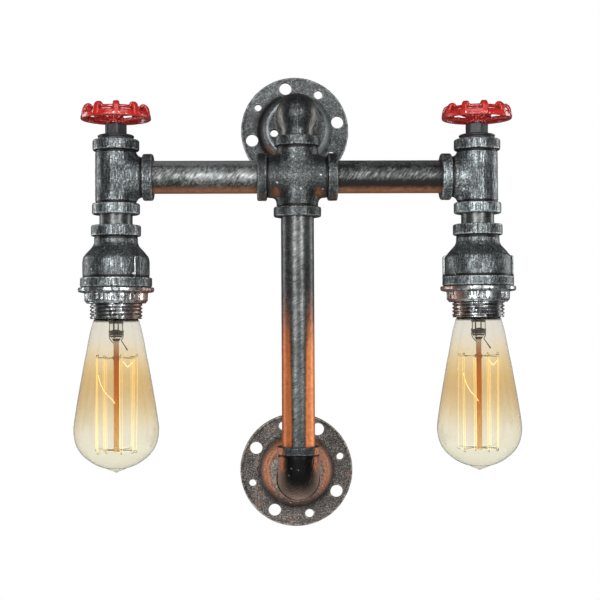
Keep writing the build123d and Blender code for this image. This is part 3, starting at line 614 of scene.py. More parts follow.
# Painted shade along the grooves beside the collars.
groove_shade_mask = sh.m("MAXIMUM", shade_band_at(sh, ax, 21.9, 0.75), shade_band_at(sh, az, 21.9, 0.75))
shadow = sh.m("MULTIPLY", sh.m("MULTIPLY", sh.gauss(ax, 15.5, 8.0), sh.gauss(dz, -10.0, 6.0)), 0.14)
finish_antique(sh, glow_paint, silver=-0.05, groove_shade=groove_shade_mask, tone=0.23, base=0.014, rough=0.37, contrast=1.35, blotch=0.7, dim=shadow, edge=1.5,
               edge_tint=0.55, loose_by=1.5,
               glow_stops=[(0.24, (0.030, 0.011, 0.006)), (0.50, (0.16, 0.055, 0.022)), (0.76, (0.55, 0.22, 0.08))])
CROSS = sh.mat

sh = Shader("tee_finish")
ax = sh.m("ABSOLUTE", sh.x)
dz = sh.m("SUBTRACT", sh.z, ARM_Z)
# Painted warm glow from the bulbs under the branch end nearest the cross.
inner = sh.m("MULTIPLY", sh.step(ax, 116.0, 108.0), under(sh, -0.55, -0.95))
# Painted shade along the grooves beside the collars.
groove_shade_mask = sh.m("MAXIMUM", shade_band_at(sh, sh.m("ABSOLUTE", dz), 19.0, 0.7), shade_band_at(sh, ax, LAMP_X - 19.3, 0.7))
# Painted light: the right tee and the lower collar made lighter.
lift = sh.m("MULTIPLY_ADD", sh.step(sh.x, 0.0, 50.0), -0.035, sh.m("MULTIPLY", sh.step(dz, -19.2, -20.2), -0.06))
finish_antique(sh, sh.m("MULTIPLY", inner, 0.45), silver=-0.06, groove_shade=groove_shade_mask, dim=lift, strokes=0.60, tone=0.33, base=0.016, grain=0.9, rough=0.37, edge=1.9, contrast=1.1, edge_tint=0.4)
TEE = sh.mat

sh = Shader("street_elbow_finish")
# Painted highlight: grey rims on the left and right edges and on top, laid on through the glow mask with grey stops.
top_highlight = sh.m("MULTIPLY", sh.m("POWER", sh.m("MAXIMUM", sh.nz, 0.0), 4.0), 0.5)
rim_highlight = sh.m("MINIMUM", sh.m("ADD", sh.m("POWER", sh.m("ABSOLUTE", sh.nx), 3.2), top_highlight), 0.8)
finish_antique(sh, rim_highlight, silver=-0.09, tone=0.23, base=0.014, rough=0.36, pits=0.6, strokes=0.45, contrast=1.3, loose_by=0.35, soft=(0.0, 1.05),
               glow_stops=[(0.2, (0.07, 0.066, 0.057)), (0.5, (0.20, 0.190, 0.165)), (0.8, (0.33, 0.31, 0.27))])
ELBOW_TOP = sh.mat

sh = Shader("lower_elbow_finish")
dz = sh.m("SUBTRACT", sh.z, LOW_Z)
# Painted rim light in brown-grey on the sides and underside.
side = sh.m("POWER", sh.m("ABSOLUTE", sh.nx), 3.6)
below = sh.m("POWER", sh.m("MAXIMUM", sh.m("MULTIPLY", sh.nz, -1.0), 0.0), 3.6)
zone = sh.step(dz, 4.0, 12.0)
glow_paint = sh.m("MINIMUM", sh.m("ADD", side, below), 1.0)
# Painted orange glow from the bulbs on the front of the sides, upper part.
orange_glow = sh.m("MULTIPLY", sh.m("MULTIPLY", sh.gauss(sh.m("ABSOLUTE", sh.nx), 0.82, 0.15), zone), sh.step(sh.ny, 0.15, -0.15))
# Painted light: the upper collar made lighter.
lift = sh.m("MULTIPLY", sh.step(dz, 19.3, 20.3), -0.22)
# The groove by the upper collar gets painted shade.
finish_antique(sh, glow_paint, silver=-0.26, tone=0.12, base=0.0025, rough=0.33, metal=0.30, pits=0.3, dim=lift, loose_by=0.30, soft=(-0.02, 1.05),
               groove_shade=shade_band_at(sh, dz, 19.7, 0.6), second=(orange_glow, [(0.25, (0.12, 0.030, 0.012)), (0.55, (0.62, 0.20, 0.08))]),
               glow_stops=[(0.2, (0.10, 0.060, 0.042)), (0.5, (0.30, 0.195, 0.145)), (0.8, (0.46, 0.33, 0.26))])
sh.bsdf.inputs["Specular IOR Level"].default_value = 0.08
ELBOW_LOW = sh.mat

sh = Shader("reducer_finish")
dz = sh.m("SUBTRACT", sh.z, ARM_Z)
# Painted warm glow from the bulbs on the right-facing side of the bell, stronger lower down.
side = sh.m("MULTIPLY", sh.step(sh.nx, 0.70, 0.98), sh.step(dz, -40.0, -80.0))
# Painted shade along the neck and bell grooves.
groove_shade_mask = sh.m("MAXIMUM", shade_band_at(sh, dz, -45.2, 0.9), shade_band_at(sh, dz, -74.5, 0.7))
finish_antique(sh, sh.m("MULTIPLY", side, 0.40), silver=-0.05, groove_shade=groove_shade_mask, strokes=0.55, tone=0.37, base=0.018, rough=0.40, edge=1.9, contrast=1.1, edge_tint=0.4)
REDUCER = sh.mat

sh = Shader("upper_flange_finish")
rad = sh.m("SQRT", sh.m("ADD", sh.m("MULTIPLY", sh.x, sh.x), sh.m("MULTIPLY", sh.z, sh.z)))
# Painted warm glow from the bulbs low on the hub, stronger on the left.
hub_glow = sh.m("MULTIPLY", sh.m("MULTIPLY", sh.gauss(rad, 26.5, 2.5), sh.step(sh.z, -6.0, -15.0)), sh.step(sh.x, 4.0, -12.0, to=(0.25, 1.0)))
# Painted shading on the hub: a painted highlight on the wall's right side, painted shadow in the left fillet, a painted
# highlight band inside on the left, and a darker hub end.
wall_highlight = sh.m("MULTIPLY", sh.gauss(rad, 27.0, 2.4), sh.step(sh.x, -16.0, 4.0, to=(0.0, -0.24)))
fillet_shade = sh.m("MULTIPLY", sh.gauss(rad, 30.5, 2.2), sh.step(sh.x, -6.0, -20.0, to=(0.0, 0.20)))
glow = sh.m("MULTIPLY", sh.gauss(rad, 22.5, 1.8), sh.step(sh.x, 4.0, -14.0, to=(-0.06, -0.24)))
hub_painted_shading = sh.m("MULTIPLY_ADD", sh.step(rad, 25.5, 23.5), 0.09, sh.m("ADD", fillet_shade, sh.m("ADD", glow, wall_highlight)))
finish_antique(sh, sh.m("MULTIPLY", hub_glow, 0.6), silver=-0.03, tone=0.225, base=0.016, warm=0.03, grain=1.1, rough=0.46, metal=0.55,
               edge=1.5, contrast=2.0, blotch=0.5, dim=hub_painted_shading, edge_tint=0.3, deep_by=0.12)
FLANGE_TOP = sh.mat

sh = Shader("lower_flange_finish")
dz = sh.m("SUBTRACT", sh.z, LOW_Z)
rad = sh.m("SQRT", sh.m("ADD", sh.m("MULTIPLY", sh.x, sh.x), sh.m("MULTIPLY", dz, dz)))
# Painted warm glow from the bulbs on a wavy ring round the hub, fainter at the bottom, and in patches on the disc.
wavy = sh.m("MULTIPLY_ADD", sh.m("SUBTRACT", sh.noise(sh.mm, 0.40, 5.0, 0.7), 0.5), 6.0, rad)
hub = sh.m("MULTIPLY", sh.gauss(wavy, 24.6, 3.9), sh.step(dz, -24.0, -2.0, to=(0.30, 1.0)))
disc_glow = sh.m("MULTIPLY", sh.step(rad, 29.0, 32.0), sh.step(sh.noise(sh.mm, 0.10, 3.0), 0.50, 0.72))
glow_paint = sh.m("MAXIMUM", hub, sh.m("MULTIPLY", disc_glow, 0.34))
# Painted shading on the hub: painted shade low down, painted highlights at the fillet and on the hub's end.
bottom_shade = sh.m("MULTIPLY", sh.gauss(rad, 27.5, 4.0), sh.step(dz, -10.0, -24.0))
hub_painted_shading = sh.m("MULTIPLY_ADD", sh.gauss(rad, 29.6, 2.0), -0.10, sh.m("MULTIPLY_ADD", bottom_shade, 0.18, sh.m("MULTIPLY", sh.gauss(rad, 18.3, 2.4), -0.16)))
finish_antique(sh, glow_paint, silver=-0.03, tone=0.185, base=0.010, warm=0.36, grain=1.08, rough=0.48, metal=0.50, edge=1.6, contrast=2.7, blotch=0.35, loose_by=1.0, deep_by=0.05, soft=(0.05, 1.0),
               dim=hub_painted_shading, edge_tint=0.4,
               glow_stops=[(0.22, (0.045, 0.017, 0.011)), (0.46, (0.30, 0.105, 0.044)), (0.72, (0.68, 0.30, 0.15))])
FLANGE_LOW = sh.mat


# ---- pipes: fine diagonal brush strokes of silver over black
def pipe_finish(name, axis, painted_glow=None, silver=0.0, seed=0.0, tone=0.34, base=0.020, contrast=1.0, rough=0.38, painted_shading=None,
                left_gain=None, right_gain=None):
    s = Shader(name)
    mm = s.turn(s.mm, loc=(seed, seed * 1.7, -seed))
    lean = s.turn(mm, rot=(0, 48 if axis == "X" else 28, 0))
    fine = s.noise(s.turn(lean, scale=(0.17, 1.0, 2.5)), 1.0, 3.0, 0.6)
    finer = s.noise(s.turn(lean, scale=(0.26, 1.7, 4.4), loc=(3, 9, 4)), 1.0, 3.0, 0.6)
    cloud = s.noise(mm, 0.045, 2.0)
    patch = s.noise(mm, 0.28, 4.0, 0.6)
    v = s.m("MULTIPLY_ADD", fine, 0.50, s.m("MULTIPLY_ADD", finer, 0.42, s.m("MULTIPLY_ADD", patch, 0.22, s.m("MULTIPLY_ADD", cloud, 0.22, -0.18))))
    v = s.m("MULTIPLY_ADD", s.m("SUBTRACT", v, 0.5), contrast, 0.5 + silver)
    # Painted light and shade by zones, where given.
    if painted_shading is not None:
        v = s.m("ADD", v, painted_shading(s))
    col = paint(s, v, (base, base, base * 0.98), (0.36 * tone, 0.375 * tone, 0.375 * tone), (1.15 * tone, 1.2 * tone, 1.2 * tone), 0.28, 0.76)
    # Painted warm glow from the bulbs.
    if painted_glow is not None:
        c = painted_glow(s)
        loose = s.m("ADD", c, s.m("ADD", s.m("MULTIPLY", s.m("SUBTRACT", fine, 0.5), 0.55), s.m("MULTIPLY", s.m("SUBTRACT", patch, 0.5), 0.35)))
        pipe_glow_mask = s.m("MULTIPLY", s.step(loose, 0.08, 0.60), s.step(c, 0.01, 0.15))
        glow_col = s.ramp(s.m("ADD", s.m("MULTIPLY", fine, 0.45), s.m("MULTIPLY", patch, 0.45)),
                         [(0.20, (0.11, 0.034, 0.014)), (0.42, (0.44, 0.145, 0.050)), (0.75, (0.70, 0.28, 0.105))])
        # Painted light: the glow made brighter or darker on the right-facing side than on the left.
        if left_gain is not None:
            gain = s.mix(s.step(s.nx, -0.3, 0.3), left_gain, right_gain)
            glow_col = s.mix(1.0, glow_col, gain, "MULTIPLY")
        glow_col = s.mix(s.step(c, 0.0, 0.75), (0.040, 0.018, 0.011), glow_col)
        col = s.mix(pipe_glow_mask, col, glow_col)
        s.set("Metallic", s.m("MULTIPLY_ADD", pipe_glow_mask, -0.45, 0.75))
    else:
        s.set("Metallic", 0.75)
    s.set("Base Color", col)
    s.set("Roughness", s.m("ADD", s.step(v, 0.3, 0.7, to=(rough + 0.04, rough - 0.03)), s.m("MULTIPLY", s.m("SUBTRACT", finer, 0.5), 0.2)))
    s.set("Normal", s.bump(s.m("ADD", fine, s.m("MULTIPLY", finer, 0.7)), 0.18, 0.0003))
    s.bsdf.inputs["Specular IOR Level"].default_value = 0.25
    return s.mat


# Painted warm glow from the bulbs on the arms' undersides.
def arm_underside_glow(s):
    return s.m("MULTIPLY", s.step(s.nz, -0.36, -1.0), 0.66)


def arm_painted_shading(s):
    """Painted light and shade: lighter on top, more so on the left arm; a darker band below the top and a faint
    highlight at mid height; painted shade near black above the painted glow, less on the left arm; the right arm a
    little darker overall
    """
    left = s.step(s.x, 30.0, -30.0)
    top = s.m("MULTIPLY", s.step(s.nz, 0.50, 0.88), s.m("MULTIPLY_ADD", left, 0.12, 0.12))
    shade = s.m("MULTIPLY", s.gauss(s.nz, 0.42, 0.18), -0.05)
    top = s.m("ADD", top, s.m("ADD", shade, s.m("MULTIPLY", s.gauss(s.nz, 0.02, 0.16), 0.02)))
    belly_shade = s.m("MULTIPLY", s.step(s.nz, -0.14, -0.52), s.m("MULTIPLY_ADD", left, 0.17, -0.28))
    return s.m("ADD", s.m("ADD", top, belly_shade), s.m("MULTIPLY_ADD", left, 0.07, -0.07))


# Painted warm glow from the bulbs on both sides of the lower riser.
def riser_side_glow(s):
    side = s.step(s.m("ABSOLUTE", s.nx), 0.26, 0.62)
    down_ = s.step(s.z, -92.0, -240.0)
    return s.m("MULTIPLY", side, down_)


ARM = pipe_finish("arm_finish", "X", arm_underside_glow, silver=-0.03, contrast=1.45, tone=0.36, base=0.012, rough=0.36, painted_shading=arm_painted_shading,
                  left_gain=(0.56, 0.66, 0.85), right_gain=(0.56, 0.66, 0.85))
# Painted light: the riser's glow darker on its left side and brighter on its right.
RISER = pipe_finish("riser_finish", "Z", riser_side_glow, silver=-0.07, seed=31.0, contrast=0.9, tone=0.28, base=0.012, rough=0.32,
                    left_gain=(0.78, 0.64, 0.50), right_gain=(1.30, 1.25, 1.20))
NIPPLE = pipe_finish("nipple_finish", "Z", None, silver=-0.06, seed=11.0, contrast=0.8, tone=0.32, base=0.010, rough=0.32)

# ---- black bonnets
s = Shader("black_bonnet")
mm = s.mm
fine = s.noise(mm, 1.6, 5.0, 0.65)
med = s.noise(mm, 0.35, 3.0)
worn = s.wear_edges(0.53, 0.66)
chip = s.step(s.m("ADD", s.noise(mm, 0.9, 5.0, 0.7), s.m("MULTIPLY", worn, 0.25)), 0.66, 0.80)
s.set("Base Color", s.mix(chip, s.mix(fine, (0.010, 0.011, 0.013), (0.035, 0.037, 0.041)), (0.30, 0.31, 0.32)))
s.set("Metallic", s.m("MULTIPLY_ADD", chip, 0.6, 0.25))
s.set("Roughness", s.m("MULTIPLY_ADD", fine, 0.35, 0.28))
s.set("Normal", s.bump(s.m("ADD", fine, med), 0.25, 0.0004))
BONNET = s.mat

# ---- red handwheels: thick gloss enamel over a rough casting
s = Shader("red_enamel")
mm = s.mm
fine = s.noise(mm, 1.3, 5.0, 0.6)
med = s.noise(mm, 0.28, 3.0, 0.5)
worn = s.wear_edges(0.56, 0.72)
chip = s.step(s.m("ADD", s.noise(mm, 0.75, 6.0, 0.75), s.m("MULTIPLY", worn, 0.22)), 0.74, 0.80)
red = s.mix(s.step(med, 0.3, 0.7), (0.33, 0.007, 0.008), (0.48, 0.019, 0.012))
red = s.mix(s.m("MULTIPLY", worn, 0.5), red, (0.60, 0.055, 0.03))
s.set("Base Color", s.mix(chip, red, (0.16, 0.10, 0.09)))
s.set("Roughness", s.m("ADD", s.m("MULTIPLY", fine, 0.16), s.m("MULTIPLY_ADD", chip, 0.3, 0.16)))
s.set("Coat Weight", 0.7)
s.set("Coat Roughness", 0.08)
s.set("Normal", s.bump(s.m("ADD", s.m("MULTIPLY", med, 1.4), s.m("MULTIPLY", fine, 0.35)), 0.5, 0.0007))
RED = s.mat


# ---- bright plating with grime
def plated(name, base=(0.74, 0.74, 0.75), grime=0.5, rough=0.16, inward_glow=0.0):
    s = Shader(name)
    mm = s.mm
    fine = s.noise(mm, 1.1, 5.0, 0.65)
    med = s.noise(mm, 0.22, 3.0, 0.5)
    flow = s.noise(s.turn(mm, scale=(1.0, 1.0, 0.25)), 0.55, 3.0, 0.6)
    dirt = s.step(s.m("ADD", s.m("MULTIPLY", fine, 0.45), s.m("MULTIPLY_ADD", flow, 0.40, s.m("MULTIPLY", med, 0.35))), 0.62 - 0.18 * grime, 0.74 - 0.10 * grime)
    col = s.mix(dirt, base, (0.045, 0.044, 0.043))
    # Painted warm glow from the bulbs on the faces turned towards the middle.
    if inward_glow:
        inward = s.m("MULTIPLY", s.nx, s.m("MULTIPLY", s.m("SIGN", s.x), -1.0))
        warm = s.m("MULTIPLY", s.step(inward, 0.35, 0.85), inward_glow)
        col = s.mix(warm, col, (0.62, 0.34, 0.24))
    s.set("Base Color", col)
    s.set("Metallic", 1.0)
    s.set("Roughness", s.m("MULTIPLY_ADD", dirt, 0.3, s.m("MULTIPLY_ADD", fine, 0.12, rough)))
    s.set("Normal", s.bump(fine, 0.12, 0.0003))
    return s.mat


RING = plated("ring_plating", base=(0.46, 0.50, 0.51), grime=0.55, rough=0.18, inward_glow=0.5)
THREAD = plated("thread_plating", base=(0.42, 0.43, 0.44), grime=0.75, rough=0.14, inward_glow=0.3)
CAP = plated("cap_plating", base=(0.80, 0.76, 0.66), grime=0.1, rough=0.22)


def simple(name, a, b, scale=0.8, metal=0.0, rough=(0.35, 0.55), bump=0.2, detail=4.0):
    s = Shader(name)
    f = s.noise(s.mm, scale, detail, 0.6)
    s.set("Base Color", s.mix(f, a, b))
    s.set("Metallic", metal)
    s.set("Roughness", s.m("MULTIPLY_ADD", f, rough[1] - rough[0], rough[0]))
    s.set("Normal", s.bump(f, bump, 0.0003))
    return s.mat


CERAMIC = simple("ceramic_insert", (0.78, 0.76, 0.70), (0.88, 0.86, 0.82), 1.2, 0.0, (0.45, 0.65))
BRASS = simple("brass_shell", (0.62, 0.44, 0.18), (0.78, 0.60, 0.30), 0.7, 1.0, (0.22, 0.4))
ZINC = simple("zinc_plate", (0.46, 0.47, 0.49), (0.68, 0.69, 0.71), 0.9, 1.0, (0.25, 0.45))
NYLON = simple("natural_nylon", (0.80, 0.78, 0.71), (0.88, 0.87, 0.82), 0.5, 0.0, (0.4, 0.5))
BROWN = simple("brown_sleeve", (0.16, 0.06, 0.025), (0.24, 0.10, 0.045), 0.6, 0.0, (0.35, 0.5))
BLUE = simple("blue_sleeve", (0.03, 0.09, 0.32), (0.05, 0.14, 0.42), 0.6, 0.0, (0.35, 0.5))
BLACK_GLASS = simple("black_vitrite", (0.008, 0.008, 0.010), (0.02, 0.02, 0.022), 1.0, 0.0, (0.08, 0.18), 0.1)
SUPPORT = simple("support_wire", (0.045, 0.035, 0.028), (0.11, 0.085, 0.06), 1.0, 0.5, (0.35, 0.5))

# ---- glass
s = Shader("amber_glass")
s.bsdf.inputs["Transmission Weight"].default_value = 1.0
s.bsdf.inputs["IOR"].default_value = 1.45
rel = s.m("SUBTRACT", s.z, ARM_Z)
streak = s.noise(s.turn(s.mm, scale=(1, 1, 0.35)), 0.05, 2.0, 0.5)
height = s.m("ADD", rel, s.m("MULTIPLY", s.m("SUBTRACT", streak, 0.5), 22.0))
base = s.ramp(s.m("DIVIDE", s.m("ADD", height, 220.0), 120.0), [
    (0.06, (0.92, 0.92, 0.83)), (0.15, (0.945, 0.945, 0.86)), (0.24, (0.945, 0.92, 0.835)), (0.32, (0.915, 0.865, 0.72)),
    (0.41, (0.875, 0.775, 0.59)), (0.50, (0.85, 0.72, 0.51)), (0.59, (0.865, 0.735, 0.50)), (0.67, (0.91, 0.805, 0.60)),
    (0.76, (0.93, 0.88, 0.76)), (0.85, (0.91, 0.90, 0.855)), (1.0, (0.88, 0.88, 0.85))])
# Painted shade: the neck just under the holder made dark grey.
base = s.mix(s.step(rel, -109.0, -106.5), base, (0.22, 0.21, 0.20))
s.set("Base Color", base)
fine = s.noise(s.mm, 0.35, 3.0, 0.5)
s.set("Roughness", s.step(fine, 0.2, 0.8, to=(0.0, 0.02)))
s.set("Normal", s.bump(s.noise(s.turn(s.mm, scale=(1, 1, 0.4)), 0.045, 2.0), 0.05, 0.0005))
soak = s.add("ShaderNodeVolumeAbsorption")
soak.inputs["Color"].default_value = (0.70, 0.45, 0.10, 1.0)
soak.inputs["Density"].default_value = 85.0
s.link(soak.outputs[0], s.out.inputs["Volume"])
GLASS = s.mat

s = Shader("mount_glass")
s.bsdf.inputs["Transmission Weight"].default_value = 1.0
s.bsdf.inputs["IOR"].default_value = 1.5
rel = s.m("SUBTRACT", s.z, ARM_Z)
s.set("Base Color", s.mix(s.step(s.noise(s.mm, 0.4, 3.0), 0.35, 0.7), (0.90, 0.89, 0.84), (0.97, 0.96, 0.92)))
s.set("Roughness", s.step(s.noise(s.mm, 0.9, 3.0), 0.3, 0.8, to=(0.01, 0.09)))
CLEAR = s.mat

s = Shader("amber_rod")
rel = s.m("SUBTRACT", s.z, ARM_Z)
v = s.m("DIVIDE", s.m("ADD", rel, 205.0), 82.0)
c = s.ramp(v, [(0.0, (0.66, 0.44, 0.20)), (0.25, (0.68, 0.36, 0.13)), (0.5, (0.54, 0.19, 0.04)), (0.72, (0.46, 0.14, 0.03)), (0.86, (0.34, 0.11, 0.03)), (1.0, (0.42, 0.34, 0.26))])
c = s.mix(s.m("MULTIPLY", s.step(s.noise(s.turn(s.mm, scale=(1, 1, 0.2)), 0.9, 3.0), 0.35, 0.75), 0.4), c, (0.30, 0.09, 0.02))
s.set("Base Color", c)
s.set("Roughness", s.step(s.noise(s.mm, 0.6, 3.0), 0.3, 0.8, to=(0.12, 0.25)))
# Painted glow: the rod gives off light in its own colour.
s.bsdf.inputs["Emission Strength"].default_value = 0.50
s.set("Emission Color", c)
ROD = s.mat

s = Shader("filament_glow")
v = s.step(s.m("SUBTRACT", s.z, ARM_Z), -135.0, -200.0)
flick = s.noise(s.mm, 0.5, 2.0)
s.set("Base Color", (0.9, 0.7, 0.3))
s.set("Emission Color", s.mix(v, (1.0, 0.76, 0.30), (1.0, 0.86, 0.46)))
s.set("Emission Strength", s.step(flick, 0.25, 0.75, to=(0.88, 1.12)))
s.set("Roughness", 0.5)
FILAMENT = s.mat

s = Shader("lead_glow")
flick = s.noise(s.mm, 0.5, 2.0)
s.set("Base Color", (0.95, 0.8, 0.45))
s.set("Emission Color", s.mix(flick, (1.0, 0.80, 0.42), (1.0, 0.90, 0.62)))
s.bsdf.inputs["Emission Strength"].default_value = 1.4
s.set("Roughness", 0.4)
LEAD = s.mat


def finish_piece(ob, mat, body, replaces=()):
    ob.data.materials.clear()
    ob.data.materials.append(mat)
    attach(ob, body)
    if replaces:
        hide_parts(*replaces)
    return ob


# ------------------------------------------------------------------ cross
def cross_sdf(x, y, z):
    rz, rx = np.hypot(x, y), np.hypot(y, z)
    body = smin(drum(rz, z, 15.7, -29.8, 29.8), drum(rx, x, 15.7, -29.8, 29.8), 4.5)
    skin = cast_skin(x, y, z, 0.06, 1.0)
    d = body + skin
    az, ax = np.abs(z), np.abs(x)
    d = smax(d, -ring_groove(rz, az, 16.2, 22.0, 0.75), 0.5)
    d = smax(d, -ring_groove(rx, ax, 16.2, 22.0, 0.75), 0.5)
    for rad, t in ((rz, z), (rx, x)):
        for lo, hi in ((22.7, 30.15), (-30.15, -22.7)):
            r = 17.2 if (rad is rz and lo > 0) else 17.85
            d = smin(d, drum(rad, t, r, lo, hi, 1.3) + skin * 0.8, 0.5)
    d = np.maximum(d, -(rz - 10.3))
    d = np.maximum(d, -(rx - 10.3))
    for rad, a in ((rz, az), (rx, ax)):
        d = np.maximum(d, -np.maximum(rad - 12.5, 19.2 - a))
        d = smax(d, -np.maximum(rad - (12.5 + 0.9 * (a - 29.3)), 29.0 - a), 0.3)
    return d


cross = sdf_object("cast_cross", cross_sdf, (-30.2, -18, -30.2), (30.2, 18, 30.2), 0.5, (0, AXIS_Y, ARM_Z))
finish_piece(cross, CROSS, ROOT, ["pipe_cross"])


# ------------------------------------------------------------------ tees
def tee_sdf_for(sx):
    def fn(x, y, z):
        bx = -sx * x
        rz, rx = np.hypot(x, y), np.hypot(y, z)
        run = drum(rz, z, 15.4, -27.6, 27.6)
        branch = np.maximum(drum(rx, bx, 15.3, -2.0, 27.6), -bx - 2.0)
        skin = cast_skin(x, y, z, 0.06, 3.0 + sx)
        d = smin(run, branch, 4.5) + skin
        az = np.abs(z)
        d = smax(d, -ring_groove(rz, az, 15.8, 19.0, 0.75), 0.5)
        d = smax(d, -ring_groove(rx, bx, 15.8, 19.4, 0.75), 0.5)
        d = smin(d, drum(rz, z, 17.4, 19.7, 27.95, 1.5) + 0.8 * skin, 0.5)
        d = smin(d, drum(rz, z, 17.8, -27.95, -19.7, 1.3) + 0.8 * skin, 0.5)
        d = smin(d, drum(rx, bx, 17.5, 20.1, 27.95, 1.4) + 0.8 * skin, 0.5)
        d = np.maximum(d, -(rz - 10.3))
        d = np.maximum(d, -np.maximum(rx - 10.3, -bx))
        d = np.maximum(d, -np.maximum(rz - 12.5, 17.5 - az))
        d = np.maximum(d, -np.maximum(rx - 12.5, 17.5 - bx))
        d = smax(d, -np.maximum(rz - (12.5 + 0.9 * (az - 27.1)), 26.8 - az), 0.3)
        d = smax(d, -np.maximum(rx - (12.5 + 0.9 * (bx - 27.1)), 26.8 - bx), 0.3)
        return d
    return fn


for side, sx in (("left", -1), ("right", 1)):
    lo, hi = ((-18, -18, -28), (28, 18, 28)) if sx < 0 else ((-28, -18, -28), (18, 18, 28))
    tee = sdf_object("cast_tee_" + side, tee_sdf_for(sx), lo, hi, 0.5, (sx * LAMP_X, AXIS_Y, ARM_Z))
    finish_piece(tee, TEE, ROOT, [side + "_tee"])


# ------------------------------------------------------------------ lower elbow
def bend(x, y, z, r, bend_r=17.0):
    """Tube of radius r from straight up to straight back, corner at the origin"""
    u, w = y - bend_r, z - bend_r
    arc = np.hypot(np.hypot(u, w) - bend_r, x) - r
    up = np.hypot(x, y) - r
    back = np.hypot(x, z) - r
    return np.where(w > 0, np.where(u > 0, np.minimum(up, back), up), np.where(u > 0, back, arc))


def low_elbow_sdf(x, y, z):
    f = 26.35
    skin = cast_skin(x, y, z, 0.05, 5.0)
    d = bend(x, y, z, 15.6) + skin
    d = smax(d, z - f, 0.6)
    d = smax(d, y - f, 0.6)
    # seam left by the mould, down the middle
    d = d - 0.16 * np.exp(-((x / 0.45) ** 2)) * (y < 12)
    d = smax(d, -ring_groove(np.hypot(x, y), z, 16.0, 19.6, 0.6), 0.4)
    d = smin(d, drum(np.hypot(x, y), z, 16.5, 20.1, f - 0.05, 1.1) + 0.8 * skin, 0.5)
    d = smin(d, drum(np.hypot(x, z), y, 16.9, 19.4, f - 0.05, 1.2) + 0.8 * skin, 0.5)
    d = np.maximum(d, -bend(x, y, z, 10.3))
    d = np.maximum(d, -np.maximum(np.hypot(x, y) - 12.5, f - 10.0 - z))
    d = np.maximum(d, -np.maximum(np.hypot(x, z) - 12.5, f - 10.0 - y))
    d = smax(d, -np.maximum(np.hypot(x, y) - (12.5 + 0.8 * (z - f + 0.7)), f - 1.0 - z), 0.3)
    return d


elbow = sdf_object("cast_lower_elbow", low_elbow_sdf, (-17, -16, -16), (17, 26.4, 26.4), 0.5, (0, AXIS_Y, LOW_Z))
finish_piece(elbow, ELBOW_LOW, ROOT, ["lower_elbow"])


# ------------------------------------------------------------------ upper street elbow
def street_sdf(x, y, z):
    skin = cast_skin(x, y, z, 0.05, 8.0)
    ball = np.sqrt(x * x + y * y + z * z) - 15.0
    back = np.maximum(drum(np.hypot(x, z), y, 15.0, -4.0, 27.9), -y - 4.0)
    leg = drum(np.hypot(x, y), z, 11.85, -18.0, 2.0, 0.2)
    male = drum(np.hypot(x, y), z, 12.38, -28.35, -17.45, 0.4)
    d = smin(np.minimum(ball, back), leg, 3.0) + skin
    d = d - 0.28 * np.exp(-((x / 0.5) ** 2)) * (z > -16.6)
    d = smin(d, drum(np.hypot(x, z), y, 16.9, 20.1, 27.95, 1.2) + 0.8 * skin, 0.5)
    d = np.minimum(d, male)
    hollow = np.where(
        (y > 12) | (z < -12), np.minimum(np.where(y > 12, np.hypot(x, z), 99), np.where(z < -12, np.hypot(x, y), 99)),
        np.hypot(np.hypot(y - 12, z + 12) - 12, x),
    ) - 9.3
    d = np.maximum(d, -hollow)
    d = np.maximum(d, -np.maximum(np.hypot(x, z) - 12.5, 18.0 - y))
    return d


street = sdf_object("cast_street_elbow", street_sdf, (-17, -16, -28.5), (17, 28, 16), 0.5, (0, AXIS_Y, 0))
finish_piece(street, ELBOW_TOP, ROOT, ["upper_street_elbow"])

# ------------------------------------------------------------------ flanges
def flange_section(k):
    """k scales the outer face"""
    outer = [
        (45.4, 0.0, 0.5), (45.45, -4.6, 0.5), (45.0, -5.25, 0.4), (43.8, -5.25, 0.4), (43.2, -4.95, 0.4),
        (32.0, -4.95, 2.2), (29.9, -6.3, 1.6), (28.5, -10.6, 3.0), (27.6, -13.8, 3.0), (26.4, -17.4, 3.0), (24.2, -19.95, 2.2),
    ]
    line = [(27.0, 0.0, 0.2)] + [(r * k, t, c) for r, t, c in outer] + [
        (12.55, -19.95, 0.6), (12.5, -11.0, 0.0), (20.0, -11.0, 1.0), (23.4, -8.2, 2.0), (25.8, -4.0, 2.0)]
    return Outline(round_corners(line, 0.3, n=5))


flange_tables = {"upper": flange_section(0.963), "lower": flange_section(1.0)}


def flange_fn(which, base, circle, seed, spare):
    def fn(x, y, z):
        rad = np.hypot(x, z)
        d = flange_tables[which](rad, y) + cast_skin(x, y, z, 0.07, seed) * np.clip((-y) / 3.0, 0, 1)
        for count, start, r in ((4, base, 5.0), (2, base + 45, 3.5), (2, base + 135, 2.8)):
            for k in range(count):
                a = math.radians(start + 360.0 * k / count)
                hole = np.hypot(x - circle * math.cos(a), z - circle * math.sin(a)) - r
                d = smax(d, -hole, 0.5)
        if spare:
            a = math.radians(192)
            hole = np.hypot(x - 17.2 * math.cos(a), z - 17.2 * math.sin(a)) - 3.25
            d = smax(d, -np.maximum(hole, y + 9.0), 0.4)
            d = np.maximum(d, -np.maximum(np.hypot(x - 16.6, z) - 2.05, np.maximum(y + 10.0, -y - 16.5)))
        return d
    return fn


flange_a = sdf_object("flange_upper", flange_fn("upper", 12.0, 35.6, 2.0, True), (-45.5, -20, -45.5), (45.5, 0, 45.5), 0.5, (0, 0, 0))
finish_piece(flange_a, FLANGE_TOP, ROOT, ["upper_wall_flange"])
flange_b = sdf_object("flange_lower", flange_fn("lower", 61.5, 37.0, 6.0, False), (-45.5, -20, -45.5), (45.5, 0, 45.5), 0.5, (0, 0, LOW_Z))
finish_piece(flange_b, FLANGE_LOW, ROOT, ["lower_wall_flange"])


